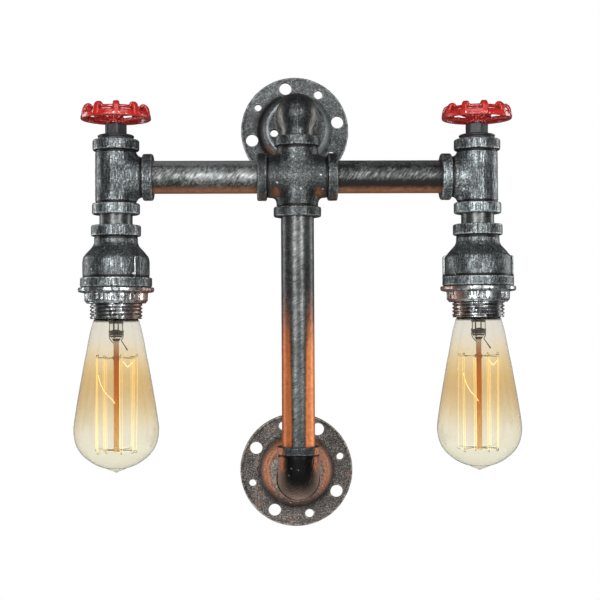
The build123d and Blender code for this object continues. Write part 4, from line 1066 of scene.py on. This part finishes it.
# ------------------------------------------------------------------ pipes
def pipe(name, axis, centre, t0, t1, mat, node, r=12.39, bore=10.5, seed=0.0):
    n = max(8, int(abs(t1 - t0) / 4))
    line = [(bore, t0), (r - 0.5, t0), (r, t0 + 0.5)]
    line += [(r, t0 + 0.5 + (t1 - t0 - 1.0) * i / n) for i in range(1, n)]
    line += [(r, t1 - 0.5), (r - 0.5, t1), (bore, t1)]

    def rough(rr, tt, ang):
        if rr[0] < bore + 0.2:
            return rr, tt
        wobble = 0.012 * np.sin(tt * 0.21 + seed + 2 * ang) + 0.010 * np.sin(tt * 0.47 + 3 * ang + seed)
        return rr - 0.022 + wobble, tt

    ob = lathe(name, line, centre, segs=160, closed=True, axis=axis, support=0.0, tweak=rough)
    return finish_piece(ob, mat, ROOT, [node])


pipe("riser", "Z", (0, AXIS_Y, 0), LOW_Z + 16.35, ARM_Z - 19.2, RISER, "riser_pipe", seed=1.0)
pipe("arm_left", "X", (0, AXIS_Y, ARM_Z), -LAMP_X + 17.5, -19.2, ARM, "left_arm_pipe", seed=2.0)
pipe("arm_right", "X", (0, AXIS_Y, ARM_Z), 19.2, LAMP_X - 17.5, ARM, "right_arm_pipe", seed=3.0)
pipe("nipple_upper", "Y", (0, 0, 0), -70.0, -11.3, NIPPLE, "upper_flange_nipple", seed=4.0)
pipe("nipple_lower", "Y", (0, 0, LOW_Z), -71.65, -11.3, NIPPLE, "lower_flange_nipple", seed=5.0)
for side, sx in (("left", -1), ("right", 1)):
    pipe("nipple_" + side, "Z", (sx * LAMP_X, AXIS_Y, ARM_Z), -44.1, -17.5, NIPPLE, side + "_tee_nipple", seed=6.0 + sx)

# ------------------------------------------------------------------ reducers
reducer_line = round_corners([
    (12.5, -36.15, 0.0), (13.3, -36.1, 0.3), (18.55, -36.1, 1.2), (18.6, -44.0, 1.1), (16.6, -44.3, 0.5), (15.9, -45.0, 0.4),
    (16.2, -45.9, 0.5), (16.3, -49.4, 2.0), (17.3, -51.8, 3.0), (21.6, -56.6, 6.0), (24.5, -60.2, 5.0), (25.0, -64.5, 4.0),
    (24.9, -74.0, 0.5), (24.5, -74.6, 0.4), (25.0, -75.2, 0.4), (26.7, -75.3, 1.1), (26.75, -82.3, 1.2), (21.8, -82.45, 0.3),
    (21.3, -82.0, 0.2), (21.3, -66.0, 2.0), (10.3, -53.0, 1.0), (10.3, -46.1, 0.0), (12.5, -46.1, 0.0),
], 0.5, n=5)
reducer_table = Outline(reducer_line)


def reducer_fn(rib_angles, seed):
    def fn(x, y, z):
        rad = np.hypot(x, y)
        skin = cast_skin(x, y, z, 0.06, seed)
        d = reducer_table(rad, z) + skin * (rad > 13.5)
        ang = np.arctan2(x, -y)
        for a in rib_angles:
            a = math.radians(a)
            u = x * math.sin(a) - y * math.cos(a)
            v = x * math.cos(a) + y * math.sin(a)
            taper = np.clip((-z - 59.0) * 1.1, 0.0, 1.6)
            rib = np.maximum(np.maximum(np.abs(v) - 2.7, u - (24.9 + taper)), np.maximum(22.5 - u, np.maximum(-z - 75.6, z + 59.6)))
            d = smin(d, rib, 1.0)
        return d
    return fn


for side, sx, ribs, seed in (("left", -1, (43.0, 223.0), 4.0), ("right", 1, (90.0, 270.0), 9.0)):
    ob = sdf_object("cast_reducer_" + side, reducer_fn(ribs, seed), (-27, -27, -82.6), (27, 27, -36.0), 0.5,
                    (sx * LAMP_X, AXIS_Y, ARM_Z))
    finish_piece(ob, REDUCER, ROOT, [side + "_reducer"])

# ------------------------------------------------------------------ shade rings
ring_line = round_corners([
    (19.85, -82.55, 0.1), (28.0, -82.55, 0.5), (28.4, -83.4, 0.5), (28.35, -85.3, 0.6), (27.4, -86.2, 0.6), (24.6, -86.4, 0.5),
    (23.7, -87.0, 0.4), (23.55, -92.2, 0.5), (23.1, -93.0, 0.5), (22.4, -93.5, 0.4), (22.1, -94.35, 0.3), (19.85, -94.35, 0.1),
], 0.3, n=4)
ring_table = Outline(ring_line, res=0.05)


def ring_fn(phase, seed):
    def fn(x, y, z):
        rad = np.hypot(x, y)
        ang = np.degrees(np.arctan2(x, -y))
        d = ring_table(rad, z)
        local = (ang - phase + 30.0) % 60.0 - 30.0
        for off in (-11.0, 0.0, 11.0):
            v = np.radians(local - off) * 23.6
            depth = 22.55
            slot = np.hypot(v, np.maximum(np.maximum(z + 87.4, -z - 91.0), 0)) - 0.78
            d = smax(d, -np.maximum(slot, depth - rad), 0.35)
        # dents on the lip
        nick = 0.10 * np.sin(np.radians(ang) * 23 + seed) * np.sin(np.radians(ang) * 7 + 2 * seed)
        return d + np.where(rad > 26.5, 0.12 + nick, 0.0)
    return fn


for side, sx, phase in (("left", -1, -18.5), ("right", 1, -10.0)):
    ob = sdf_object("ring_" + side, ring_fn(phase, 1.0 + sx), (-28.8, -28.8, -94.5), (28.8, 28.8, -82.4), 0.3,
                    (sx * LAMP_X, AXIS_Y, ARM_Z))
    finish_piece(ob, RING, ROOT, [side + "_shade_ring"])


# ------------------------------------------------------------------ lampholder shells with a real helix
def holder(name, centre, phase):
    segs = 160
    ang = np.linspace(0, 2 * math.pi, segs, endpoint=False)
    rows = []

    def add(r, z):
        rows.append(np.stack([r * np.cos(ang), r * np.sin(ang), np.full(segs, z)], 1))

    for r, z in round_corners([(5.1, -66.0), (5.1, -60.0), (8.1, -60.05), (8.2, -61.6), (12.0, -63.2), (15.3, -66.3),
                               (17.2, -70.0), (18.6, -72.2), (19.6, -74.0), (19.6, -92.5)], 0.8, n=4, closed=False):
        add(r, z)
    pitch, z = 2.7, -92.6
    while z > -105.2:
        t = ((-z - 92.6) / pitch + (ang + phase) / (2 * math.pi)) % 1.0
        wave = 0.5 + 0.5 * np.cos(2 * math.pi * t)
        fade = min(1.0, (-z - 92.4) / 1.0, (z + 105.6) / 0.8)
        r = 19.45 - 1.2 * max(0.0, fade) * (1 - np.clip(1.6 * wave, 0, 1))
        rows.append(np.stack([r * np.cos(ang), r * np.sin(ang), np.full(segs, z)], 1))
        z -= 0.18
    for r, z in round_corners([(19.2, -105.3), (19.0, -105.95), (17.4, -105.95), (17.3, -105.4), (17.3, -72.6), (15.6, -70.0),
                               (13.8, -67.2), (11.0, -65.2), (8.2, -64.4), (8.2, -66.0)], 0.3, n=3, closed=False):
        add(r, z)
    verts = np.concatenate(rows)
    n = len(rows)
    quads = []
    for i in range(n):
        a = i * segs + np.arange(segs)
        b = ((i + 1) % n) * segs + np.arange(segs)
        quads.append(np.stack([a, np.roll(a, -1), np.roll(b, -1), b], 1))
    quads = np.concatenate(quads)
    if volume_of(verts, quads) < 0:
        quads = quads[:, ::-1]
    return grid_mesh(name, (verts + np.asarray(centre)) * 0.001, quads)


for side, sx in (("left", -1), ("right", 1)):
    ob = holder("holder_" + side, (sx * LAMP_X, AXIS_Y, ARM_Z), 0.6 + sx)
    finish_piece(ob, THREAD, ROOT, [side + "_holder_shell"])

# ------------------------------------------------------------------ bonnets
bonnet_line = round_corners([
    (3.05, 17.5, 0), (11.9, 17.5, 0.3), (12.35, 18.1, 0.3), (12.35, 27.9, 0.0), (13.0, 28.02, 0.2), (13.3, 28.3, 0.3), (13.3, 29.3, 0.3),
    (12.7, 29.65, 0.2), (12.7, 29.95, 0.2), (13.6, 30.2, 0.3), (13.62, 31.0, 0.4), (12.8, 31.55, 0.4), (10.2, 31.9, 0.6), (3.05, 32.0, 0),
], 0.3, n=4)
bonnet_table = Outline(bonnet_line, res=0.08)


def bonnet_fn(turn):
    def fn(x, y, z):
        rad = np.hypot(x, y)
        d = bonnet_table(rad, z)
        a = np.arctan2(y, x) - math.radians(turn)
        sector = (a + math.pi / 6) % (math.pi / 3) - math.pi / 6
        flat = rad * np.cos(sector) - 7.65
        top = z - 39.85
        hexagon = smax(flat, np.maximum(top, 31.0 - z), 0.5)
        hexagon = smax(hexagon, rad - 8.55, 0.4)
        hexagon = smax(hexagon, rad + (z - 39.85) - 8.2, 0.5)
        d = smin(d, hexagon, 0.5)
        d = np.maximum(d, 3.05 - rad)
        return np.maximum(d, -np.maximum(rad - 6.3, z - 21.5)) + cast_skin(x, y, z, 0.03, 2.0)
    return fn


for side, sx, turn in (("left", -1, 15.0), ("right", 1, 12.4)):
    ob = sdf_object("bonnet_" + side, bonnet_fn(turn), (-13.7, -13.7, 17.5), (13.7, 13.7, 39.9), 0.35,
                    (sx * LAMP_X, AXIS_Y, ARM_Z))
    finish_piece(ob, BONNET, ROOT, [side + "_bonnet"])

# ------------------------------------------------------------------ handwheels
band_line = round_corners([
    (23.4, 43.3, 0.4), (25.9, 43.25, 0.5), (26.3, 43.9, 0.6), (26.1, 45.4, 1.2), (25.5, 47.4, 0.8), (25.0, 48.15, 0.5), (24.2, 48.15, 0.4),
    (23.9, 47.6, 0.5), (23.5, 45.6, 0.8), (23.2, 44.0, 0.4),
], 0.4, n=4)
band_table = Outline(band_line, res=0.06)
wheel_hub_line = round_corners([
    (2.6, 40.35, 0), (6.9, 40.35, 0.5), (7.1, 41.2, 0.6), (6.0, 45.0, 2.0), (5.2, 48.2, 0.8), (4.7, 49.15, 0.5), (2.6, 49.15, 0),
], 0.4, n=4)
hub_table = Outline(wheel_hub_line, res=0.06)
arch_way = [(24.9, 45.6), (24.75, 48.0), (24.2, 50.3), (23.2, 52.1), (21.9, 52.95), (20.6, 52.75), (19.8, 51.8), (19.5, 50.9)]


def way_dist(u, z, way):
    """Distance to an open line of points in the (u, z) plane"""
    best = None
    for a, b in zip(way[:-1], way[1:]):
        e = (b[0] - a[0], b[1] - a[1])
        t = np.clip(((u - a[0]) * e[0] + (z - a[1]) * e[1]) / (e[0] ** 2 + e[1] ** 2), 0, 1)
        d = np.hypot(u - a[0] - t * e[0], z - a[1] - t * e[1])
        best = d if best is None else np.minimum(best, d)
    return best


def seg_dist(u, v, z, a, b, r0, r1):
    """Distance to a tapered bar from a to b in the (u, v, z) frame"""
    a, b = np.asarray(a, float), np.asarray(b, float)
    e = b - a
    l2 = float(e @ e)
    t = np.clip(((u - a[0]) * e[0] + (v - a[1]) * e[1] + (z - a[2]) * e[2]) / l2, 0, 1)
    return np.sqrt((u - a[0] - t * e[0]) ** 2 + (v - a[1] - t * e[1]) ** 2 + (z - a[2] - t * e[2]) ** 2) - (r0 + (r1 - r0) * t)


def wheel_fn(turn, seed):
    def fn(x, y, z):
        rad = np.hypot(x, y)
        ang = np.arctan2(x, -y) - math.radians(turn)
        d = band_table(rad, z)
        # upper ring
        d = smin(d, np.hypot(rad - 19.6, z - 50.7) - 1.30, 0.5)
        # arches
        s10 = 2 * math.pi / 10
        f = (ang + s10 / 2) % s10 - s10 / 2
        u, v = rad * np.cos(f), rad * np.sin(f)
        across = np.maximum(np.abs(v) - 1.05, 0)
        arch = np.hypot(way_dist(u, z, arch_way), across) - (1.32 + 0.12 * np.clip((48.5 - z) / 3, 0, 1))
        d = smin(d, arch, 0.9)
        # spokes
        s5 = 2 * math.pi / 5
        f = (ang - math.radians(18) + s5 / 2) % s5 - s5 / 2
        u, v = rad * np.cos(f), rad * np.sin(f)
        spoke = smin(seg_dist(u, v * 0.8, z, (5.5, 0, 43.2), (15.0, 0, 45.0), 1.5, 1.15),
                     seg_dist(u, v * 0.8, z, (15.0, 0, 45.0), (24.2, 0, 45.9), 1.15, 1.5), 1.0)
        hub = hub_table(rad, z)
        # flutes on the hub
        flute = 0.55 * np.cos(9 * (ang)) * np.clip((48.2 - z) / 2.0, 0, 1) * (rad > 3.6)
        d = smin(d, smin(hub + 0.55 + flute, spoke, 1.2), 1.0)
        d = np.maximum(d, 2.6 - rad)
        return d + cast_skin(x, y, z, 0.05, seed)
    return fn


for side, sx, turn in (("left", -1, 7.0), ("right", 1, 5.5)):
    ob = sdf_object("handwheel_" + side, wheel_fn(turn, 3.0 + sx), (-26.4, -26.4, 40.3), (26.4, 26.4, 54.4), 0.33,
                    (sx * LAMP_X, AXIS_Y, ARM_Z))
    finish_piece(ob, RED, side + "_wheel", [side + "_handwheel"])
    # spindle, with a short thread at the top
    c = (sx * LAMP_X, AXIS_Y, ARM_Z)
    line = round_corners([(0, 18.4), (5.2, 18.4), (5.8, 19.0), (5.8, 21.15), (3.0, 21.2), (2.98, 40.1), (2.45, 40.3)], 0.2, closed=False)
    top = [(2.48 if i % 2 == 0 else 2.2, 49.0 + 0.4 * i) for i in range(12)]
    ob = lathe("spindle_" + side, line + [np.array((2.45, 48.8))] + [np.array(p) for p in top] + [np.array((2.0, 53.95)), np.array((0.0, 54.0))],
               c, segs=48, closed=False, support=0.2)
    finish_piece(ob, ZINC, side + "_wheel", [side + "_stem"])

    def nut_fn(x, y, z):
        rad = np.hypot(x, y)
        a = np.arctan2(y, x)
        sector = (a + math.pi / 6) % (math.pi / 3) - math.pi / 6
        d = np.maximum(rad * np.cos(sector) - 3.98, np.abs(z - 50.9) - 1.68)
        d = smax(d, rad + np.abs(z - 50.9) - 5.75, 0.2)
        return np.maximum(d, 2.5 - rad)

    ob = sdf_object("wheel_nut_" + side, nut_fn, (-4.7, -4.7, 49.2), (4.7, 4.7, 52.6), 0.15, c)
    finish_piece(ob, ZINC, side + "_wheel", [side + "_wheel_nut"])

# ------------------------------------------------------------------ bulbs
glass_pts = np.array([
    (12.45, 97.2), (12.5, 101.0), (12.62, 102.9), (13.7, 104.3), (15.75, 105.7), (17.1, 107.6), (17.85, 110.4), (18.87, 114.0),
    (20.77, 123.0), (22.38, 132.0), (24.22, 141.0), (25.78, 150.0), (27.39, 159.0),
    (28.9, 168.0), (30.26, 177.0), (31.28, 184.0), (31.62, 189.0), (31.13, 194.0),
    (29.77, 199.4), (27.44, 203.9), (23.64, 208.4), (17.41, 213.1), (11.6, 215.9), (8.2, 216.9), (6.1, 217.9), (3.6, 218.9), (1.8, 219.5), (0.9, 220.1), (0.0, 220.35),
])


def bulb_glass(name, centre):
    outer = smooth_line(glass_pts, 150)
    outer[-1] = (0.0, 220.35)
    outer[:, 0] = np.maximum(outer[:, 0], 0.0)
    tang = np.gradient(outer, axis=0)
    tang /= np.linalg.norm(tang, axis=1)[:, None]
    inner = outer + 0.75 * np.stack([-tang[:, 1], tang[:, 0]], 1)
    keep = inner[:, 0] > 0.4
    inner = inner[keep]
    inner = np.concatenate([inner, [[0.0, inner[-1, 1] + 0.05]]])
    line = [(r, -z) for r, z in inner[::-1]] + [(r, -z) for r, z in outer]
    return lathe(name, line, centre, segs=144, closed=False, support=0.0)


for side, sx in (("left", -1), ("right", 1)):
    c = np.array((sx * LAMP_X, AXIS_Y, ARM_Z))
    body = side + "_bulb"
    ob = bulb_glass("glass_" + side, c)
    finish_piece(ob, GLASS, body, [side + "_bulb_glass"])

    # cap with a rolled screw thread
    segs = 96
    ang = np.linspace(0, 2 * math.pi, segs, endpoint=False)
    rows = []
    for r, z in ((12.75, -102.55), (13.05, -102.55), (13.1, -102.2), (12.9, -101.6)):
        rows.append(np.stack([r * np.cos(ang), r * np.sin(ang), np.full(segs, z)], 1))
    z = -101.2
    while z < -84.6:
        t = ((-z) / 3.63 + ang / (2 * math.pi)) % 1.0
        fade = min(1.0, (-z - 84.4) / 1.2, (z + 101.4) / 1.2) if -101.4 < z < -84.4 else 0.0
        r = 12.9 + 0.0 * ang - 0.8 * max(0.0, fade) * (0.5 - 0.5 * np.cos(2 * math.pi * t)) + 0.2 * max(0.0, fade) * (0.5 + 0.5 * np.cos(2 * math.pi * t))
        rows.append(np.stack([r * np.cos(ang), r * np.sin(ang), np.full(segs, z)], 1))
        z += 0.3
    for r, z in ((12.6, -84.3), (12.2, -83.6), (11.4, -82.4), (10.8, -82.2), (8.0, -82.2), (8.0, -82.8), (11.0, -82.85), (11.7, -84.4)):
        rows.append(np.stack([r * np.cos(ang), r * np.sin(ang), np.full(segs, z)], 1))
    verts = np.concatenate(rows)
    quads = np.concatenate([
        np.stack([i * segs + np.arange(segs), i * segs + np.roll(np.arange(segs), -1),
                  ((i + 1) % len(rows)) * segs + np.roll(np.arange(segs), -1), ((i + 1) % len(rows)) * segs + np.arange(segs)], 1)
        for i in range(len(rows))
    ])
    if volume_of(verts, quads) < 0:
        quads = quads[:, ::-1]
    ob = grid_mesh("cap_" + side, (verts + c) * 0.001, quads)
    finish_piece(ob, CAP, body, [side + "_bulb_cap"])

    # glass mount: flared tube, pinch with the two lead wires, then the rod
    line = round_corners([(0, -99.0), (9.9, -99.0), (10.2, -99.8), (8.0, -103.0), (6.2, -106.4), (5.4, -109.5), (5.3, -116.0),
                          (5.0, -118.6), (3.4, -120.6), (2.3, -122.6), (0.0, -123.2)], 1.0, n=4, closed=False)
    ob = lathe("mount_flare_" + side, line, c, segs=64, closed=False, support=0.5)
    finish_piece(ob, CLEAR, body, [side + "_bulb_mount"])
    line = round_corners([(0, -122.0), (1.95, -122.3), (2.05, -124.0), (2.05, -133.4), (2.8, -134.0), (3.0, -135.0), (2.7, -136.2), (2.05, -136.9),
                          (2.05, -202.0), (2.7, -202.6), (2.9, -203.6), (2.7, -204.6), (1.8, -205.3), (0, -205.5)], 0.6, n=4, closed=False)
    ob = lathe("rod_" + side, line, c, segs=40, closed=False, support=0.5)
    finish_piece(ob, ROD, body, ())

    # dark pinch zone and its clamps
    parts = []
    for k, (dx, dy) in enumerate(((-3.6, 0.0), (-1.2, 1.2), (1.2, -1.2), (3.6, 0.0))):
        parts.append(tube("t", [c + (dx * 0.9, dy, -102.0), c + (dx, dy, -108.0), c + (dx, dy, -114.0), c + (dx * 0.8, dy, -119.0)], 0.35, 8))
    loop = []
    for k in range(37):
        a = 2 * math.pi * k / 36
        loop.append(c + (5.0 * math.cos(a), 3.0 * math.sin(a), -115.2 + 0.6 * math.sin(3 * a)))
    parts.append(tube("t", smooth_line(loop, 72), 0.75, 8))
    loop = [c + (5.0 * math.cos(2 * math.pi * k / 36), 3.0 * math.sin(2 * math.pi * k / 36), -116.8 + 0.5 * math.cos(4 * math.pi * k / 36)) for k in range(37)]
    parts.append(tube("t", smooth_line(loop, 72), 0.6, 8))
    # side wires of the pinch and the stub that points down and to the right
    parts.append(tube("t", smooth_line([c + (-5.2, 0, -115.5), c + (-5.1, -0.4, -119.5), c + (-3.6, -0.6, -122.4), c + (-1.6, -0.6, -124.2)], 20), 0.32, 8))
    parts.append(tube("t", smooth_line([c + (5.2, 0, -115.5), c + (5.1, -0.4, -119.5), c + (3.8, -0.6, -122.0)], 20), 0.32, 8))
    parts.append(tube("t", [c + (3.8, -0.6, -122.0), c + (6.0, -1.6, -125.4), c + (8.6, -2.4, -129.3)], [0.3, 0.36, 0.55], 8))
    ob = join_tubes("pinch_wires_" + side, parts)
    finish_piece(ob, SUPPORT, body, ())

    # crowns of hook wires
    parts = []
    hooks_top, hooks_low = [], []
    count = 9
    for k in range(count):
        for level, z0, store, shift, sag in (("top", -135.0, hooks_top, 0.0, 1.0), ("low", -203.6, hooks_low, 0.0, -1.0)):
            a = 2 * math.pi * (k + shift) / count + 0.175 + 0.05 * math.sin(5.1 * k + sx)
            u = np.array((math.cos(a), math.sin(a), 0.0))
            r1 = 14.6 + 0.5 * math.sin(2.3 * k + sag)
            dz = 0.8 * math.sin(3.7 * k + sag)
            up = 1.0 if level == "top" else -1.0
            path = [c + (0, 0, z0) + 2.4 * u, c + (0, 0, z0 + 0.2 * dz) + 8.0 * u, c + (0, 0, z0 + dz) + (r1 - 1.2) * u]
            hook = []
            side_v = np.array((-u[1], u[0], 0.0))
            for s_ in range(9):
                t_ = -0.5 * math.pi + 1.5 * math.pi * s_ / 8
                hook.append(c + (0, 0, z0 + dz) + (r1 + 0.2 + 0.9 * math.cos(t_)) * u + np.array((0, 0, up * (0.9 + 0.9 * math.sin(t_)))))
            parts.append(tube("t", smooth_line(path + hook, 40), 0.16, 6))
            store.append(c + (0, 0, z0 + dz - up * 0.1) + (r1 + 0.6) * u)
    ob = join_tubes("hooks_" + side, parts)
    finish_piece(ob, SUPPORT, body, [side + "_bulb_supports"])

    # squirrel cage: the wire goes up and down between the two crowns, over one hook after the other
    parts = []
    for k in range(count):
        a, b = hooks_top[k], hooks_low[k]
        out = (a + b) / 2 - c
        out[2] = 0
        out /= np.linalg.norm(out)
        across = np.cross((0, 0, 1.0), out)
        steps = np.linspace(0, 1, 17)[:, None]
        for off, r in ((-0.85, 0.21), (0.85, 0.18)):
            parts.append(tube("t", a + (b - a) * steps + across * off + out * (0.15 * np.sin(math.pi * steps)), r, 6))
        up = np.array((0, 0, 0.55))
        parts.append(tube("t", smooth_line([a - across * 0.85, a - across * 0.5 + up * 0.8, a + up, a + across * 0.5 + up * 0.8, a + across * 0.85], 16), 0.15, 6))
        n = hooks_low[(k + 1) % count]
        if k < count - 1:
            side_n = np.cross((0, 0, 1.0), (n - c) * (1, 1, 0) / np.linalg.norm((n - c) * (1, 1, 0)))
            parts.append(tube("t", smooth_line([b + across * 0.85, b + across * 0.4 - up, (b + n) / 2 + out * 0.3 - up * 0.2, n - side_n * 0.4 - up, n - side_n * 0.85], 24), 0.12, 6))
    ob = join_tubes("cage_" + side, parts)
    finish_piece(ob, FILAMENT, body, [side + "_bulb_filament"])

    # the two feeds from the mount to the cage
    parts = [
        tube("t", smooth_line([c + (-12.6, -6.4, -147.6), c + (-10.8, -6.2, -154.5), c + (-7.2, -5.2, -161.2), c + (-3.6, -3.6, -165.0), c + (-0.8, -2.4, -168.8)], 36), 0.30, 8),
        tube("t", smooth_line([c + (5.8, -7.5, -137.6), c + (8.0, -8.0, -140.4), c + (9.4, -8.2, -141.6), c + (11.0, -8.0, -140.0), c + (13.0, -7.0, -138.0)], 24), 0.30, 8),
    ]
    ob = join_tubes("feeds_" + side, parts)
    finish_piece(ob, LEAD, body, ())

# ------------------------------------------------------------------ carried-over CAD pieces
looks = {
    "holder_insulator": CERAMIC, "socket_thread": BRASS, "centre_contact": BRASS, "live_wire": BROWN, "neutral_wire": BLUE,
    "bulb_cap_insulator": BLACK_GLASS, "bulb_tip_contact": ZINC,
}
for name, ob in NODES.items():
    mat = None
    for tail, m in looks.items():
        if name.endswith(tail):
            mat = m
    if name in ("fixing_tubes", "fixing_washers", "fixing_nuts", "holder_terminal_screws", "terminal_block_screws", "earth_screw"):
        mat = ZINC
    if name == "terminal_block":
        mat = NYLON
    if mat is not None:
        if not ob.material_slots:
            ob.data.materials.append(mat)
        for slot in ob.material_slots:
            slot.material = mat

# ------------------------------------------------------------------ floor and light
world = bpy.data.worlds.new("studio")
bpy.context.scene.world = world
world.use_nodes = True
wt = world.node_tree
wt.nodes.clear()
w_out = wt.nodes.new("ShaderNodeOutputWorld")
w_mix = wt.nodes.new("ShaderNodeMixShader")
w_room = wt.nodes.new("ShaderNodeBackground")
w_card = wt.nodes.new("ShaderNodeBackground")
w_path = wt.nodes.new("ShaderNodeLightPath")
w_seen = wt.nodes.new("ShaderNodeMath")
w_seen.operation = "MAXIMUM"
wt.links.new(w_path.outputs["Is Camera Ray"], w_seen.inputs[0])
wt.links.new(w_path.outputs["Is Transmission Ray"], w_seen.inputs[1])
wt.links.new(w_seen.outputs[0], w_mix.inputs[0])
wt.links.new(w_room.outputs[0], w_mix.inputs[1])
wt.links.new(w_card.outputs[0], w_mix.inputs[2])
wt.links.new(w_mix.outputs[0], w_out.inputs[0])
w_card.inputs["Color"].default_value = (1.0, 1.0, 1.0, 1.0)
w_card.inputs["Strength"].default_value = 1.0
w_room.inputs["Color"].default_value = (1.0, 1.0, 1.0, 1.0)
w_room.inputs["Strength"].default_value = 0.07

segs = 96
ang = np.linspace(0, 2 * math.pi, segs, endpoint=False)
floor_v = [(0.0, 0.0, -0.62)] + [(0.55 * math.cos(a), 0.55 * math.sin(a), -0.62) for a in ang]
floor = mesh_object("floor", floor_v, [(0, 1 + i, 1 + (i + 1) % segs) for i in range(segs)], smooth=False)
s = Shader("pale_floor")
s.set("Base Color", s.mix(s.noise(s.mm, 0.002, 2.0), (0.90, 0.90, 0.90), (0.94, 0.94, 0.94)))
s.set("Roughness", 0.9)
floor.data.materials.append(s.mat)


lit = bpy.data.collections.new("lit_by_softboxes")
for ob in bpy.data.objects:
    if ob.type == "MESH" and not ob.name.startswith(("glass_", "mount_flare_")):
        lit.objects.link(ob)


def softbox(name, pos, target, size, power, colour=(1, 1, 1)):
    data = bpy.data.lights.new(name, "AREA")
    data.shape = "RECTANGLE"
    data.size, data.size_y = size
    data.energy = power
    data.color = colour
    ob = bpy.data.objects.new(name, data)
    bpy.context.scene.collection.objects.link(ob)
    ob.location = pos
    d = Vector(target) - Vector(pos)
    ob.rotation_euler = d.to_track_quat("-Z", "Y").to_euler()
    ob.light_linking.receiver_collection = lit
    return ob


softbox("key_left", (-0.52, -1.45, 0.04), (0, -0.08, -0.14), (0.26, 0.50), 12)
softbox("key_right", (0.66, -1.35, 0.04), (0, -0.08, -0.14), (0.20, 0.50), 9)
softbox("front", (0.0, -1.60, 0.25), (0, -0.08, -0.14), (0.40, 0.30), 3)
softbox("low_front", (0.0, -1.45, -0.50), (0, -0.08, -0.10), (0.50, 0.30), 2.2)
softbox("above", (0.0, -0.75, 0.60), (0, -0.08, -0.05), (0.90, 0.35), 2.5)
softbox("low_bounce", (0.0, -0.55, -0.60), (0, -0.08, -0.1), (0.8, 0.4), 2.5)
softbox("side_left", (-0.9, 0.25, -0.1), (0, -0.08, -0.14), (0.3, 0.9), 4.0)
softbox("side_right", (0.9, 0.25, -0.1), (0, -0.08, -0.14), (0.3, 0.9), 4.0)

view_settings = bpy.context.scene.view_settings
view_settings.view_transform = "Standard"
view_settings.look = "None"
view_settings.exposure = 0.0
view_settings.gamma = 1.0
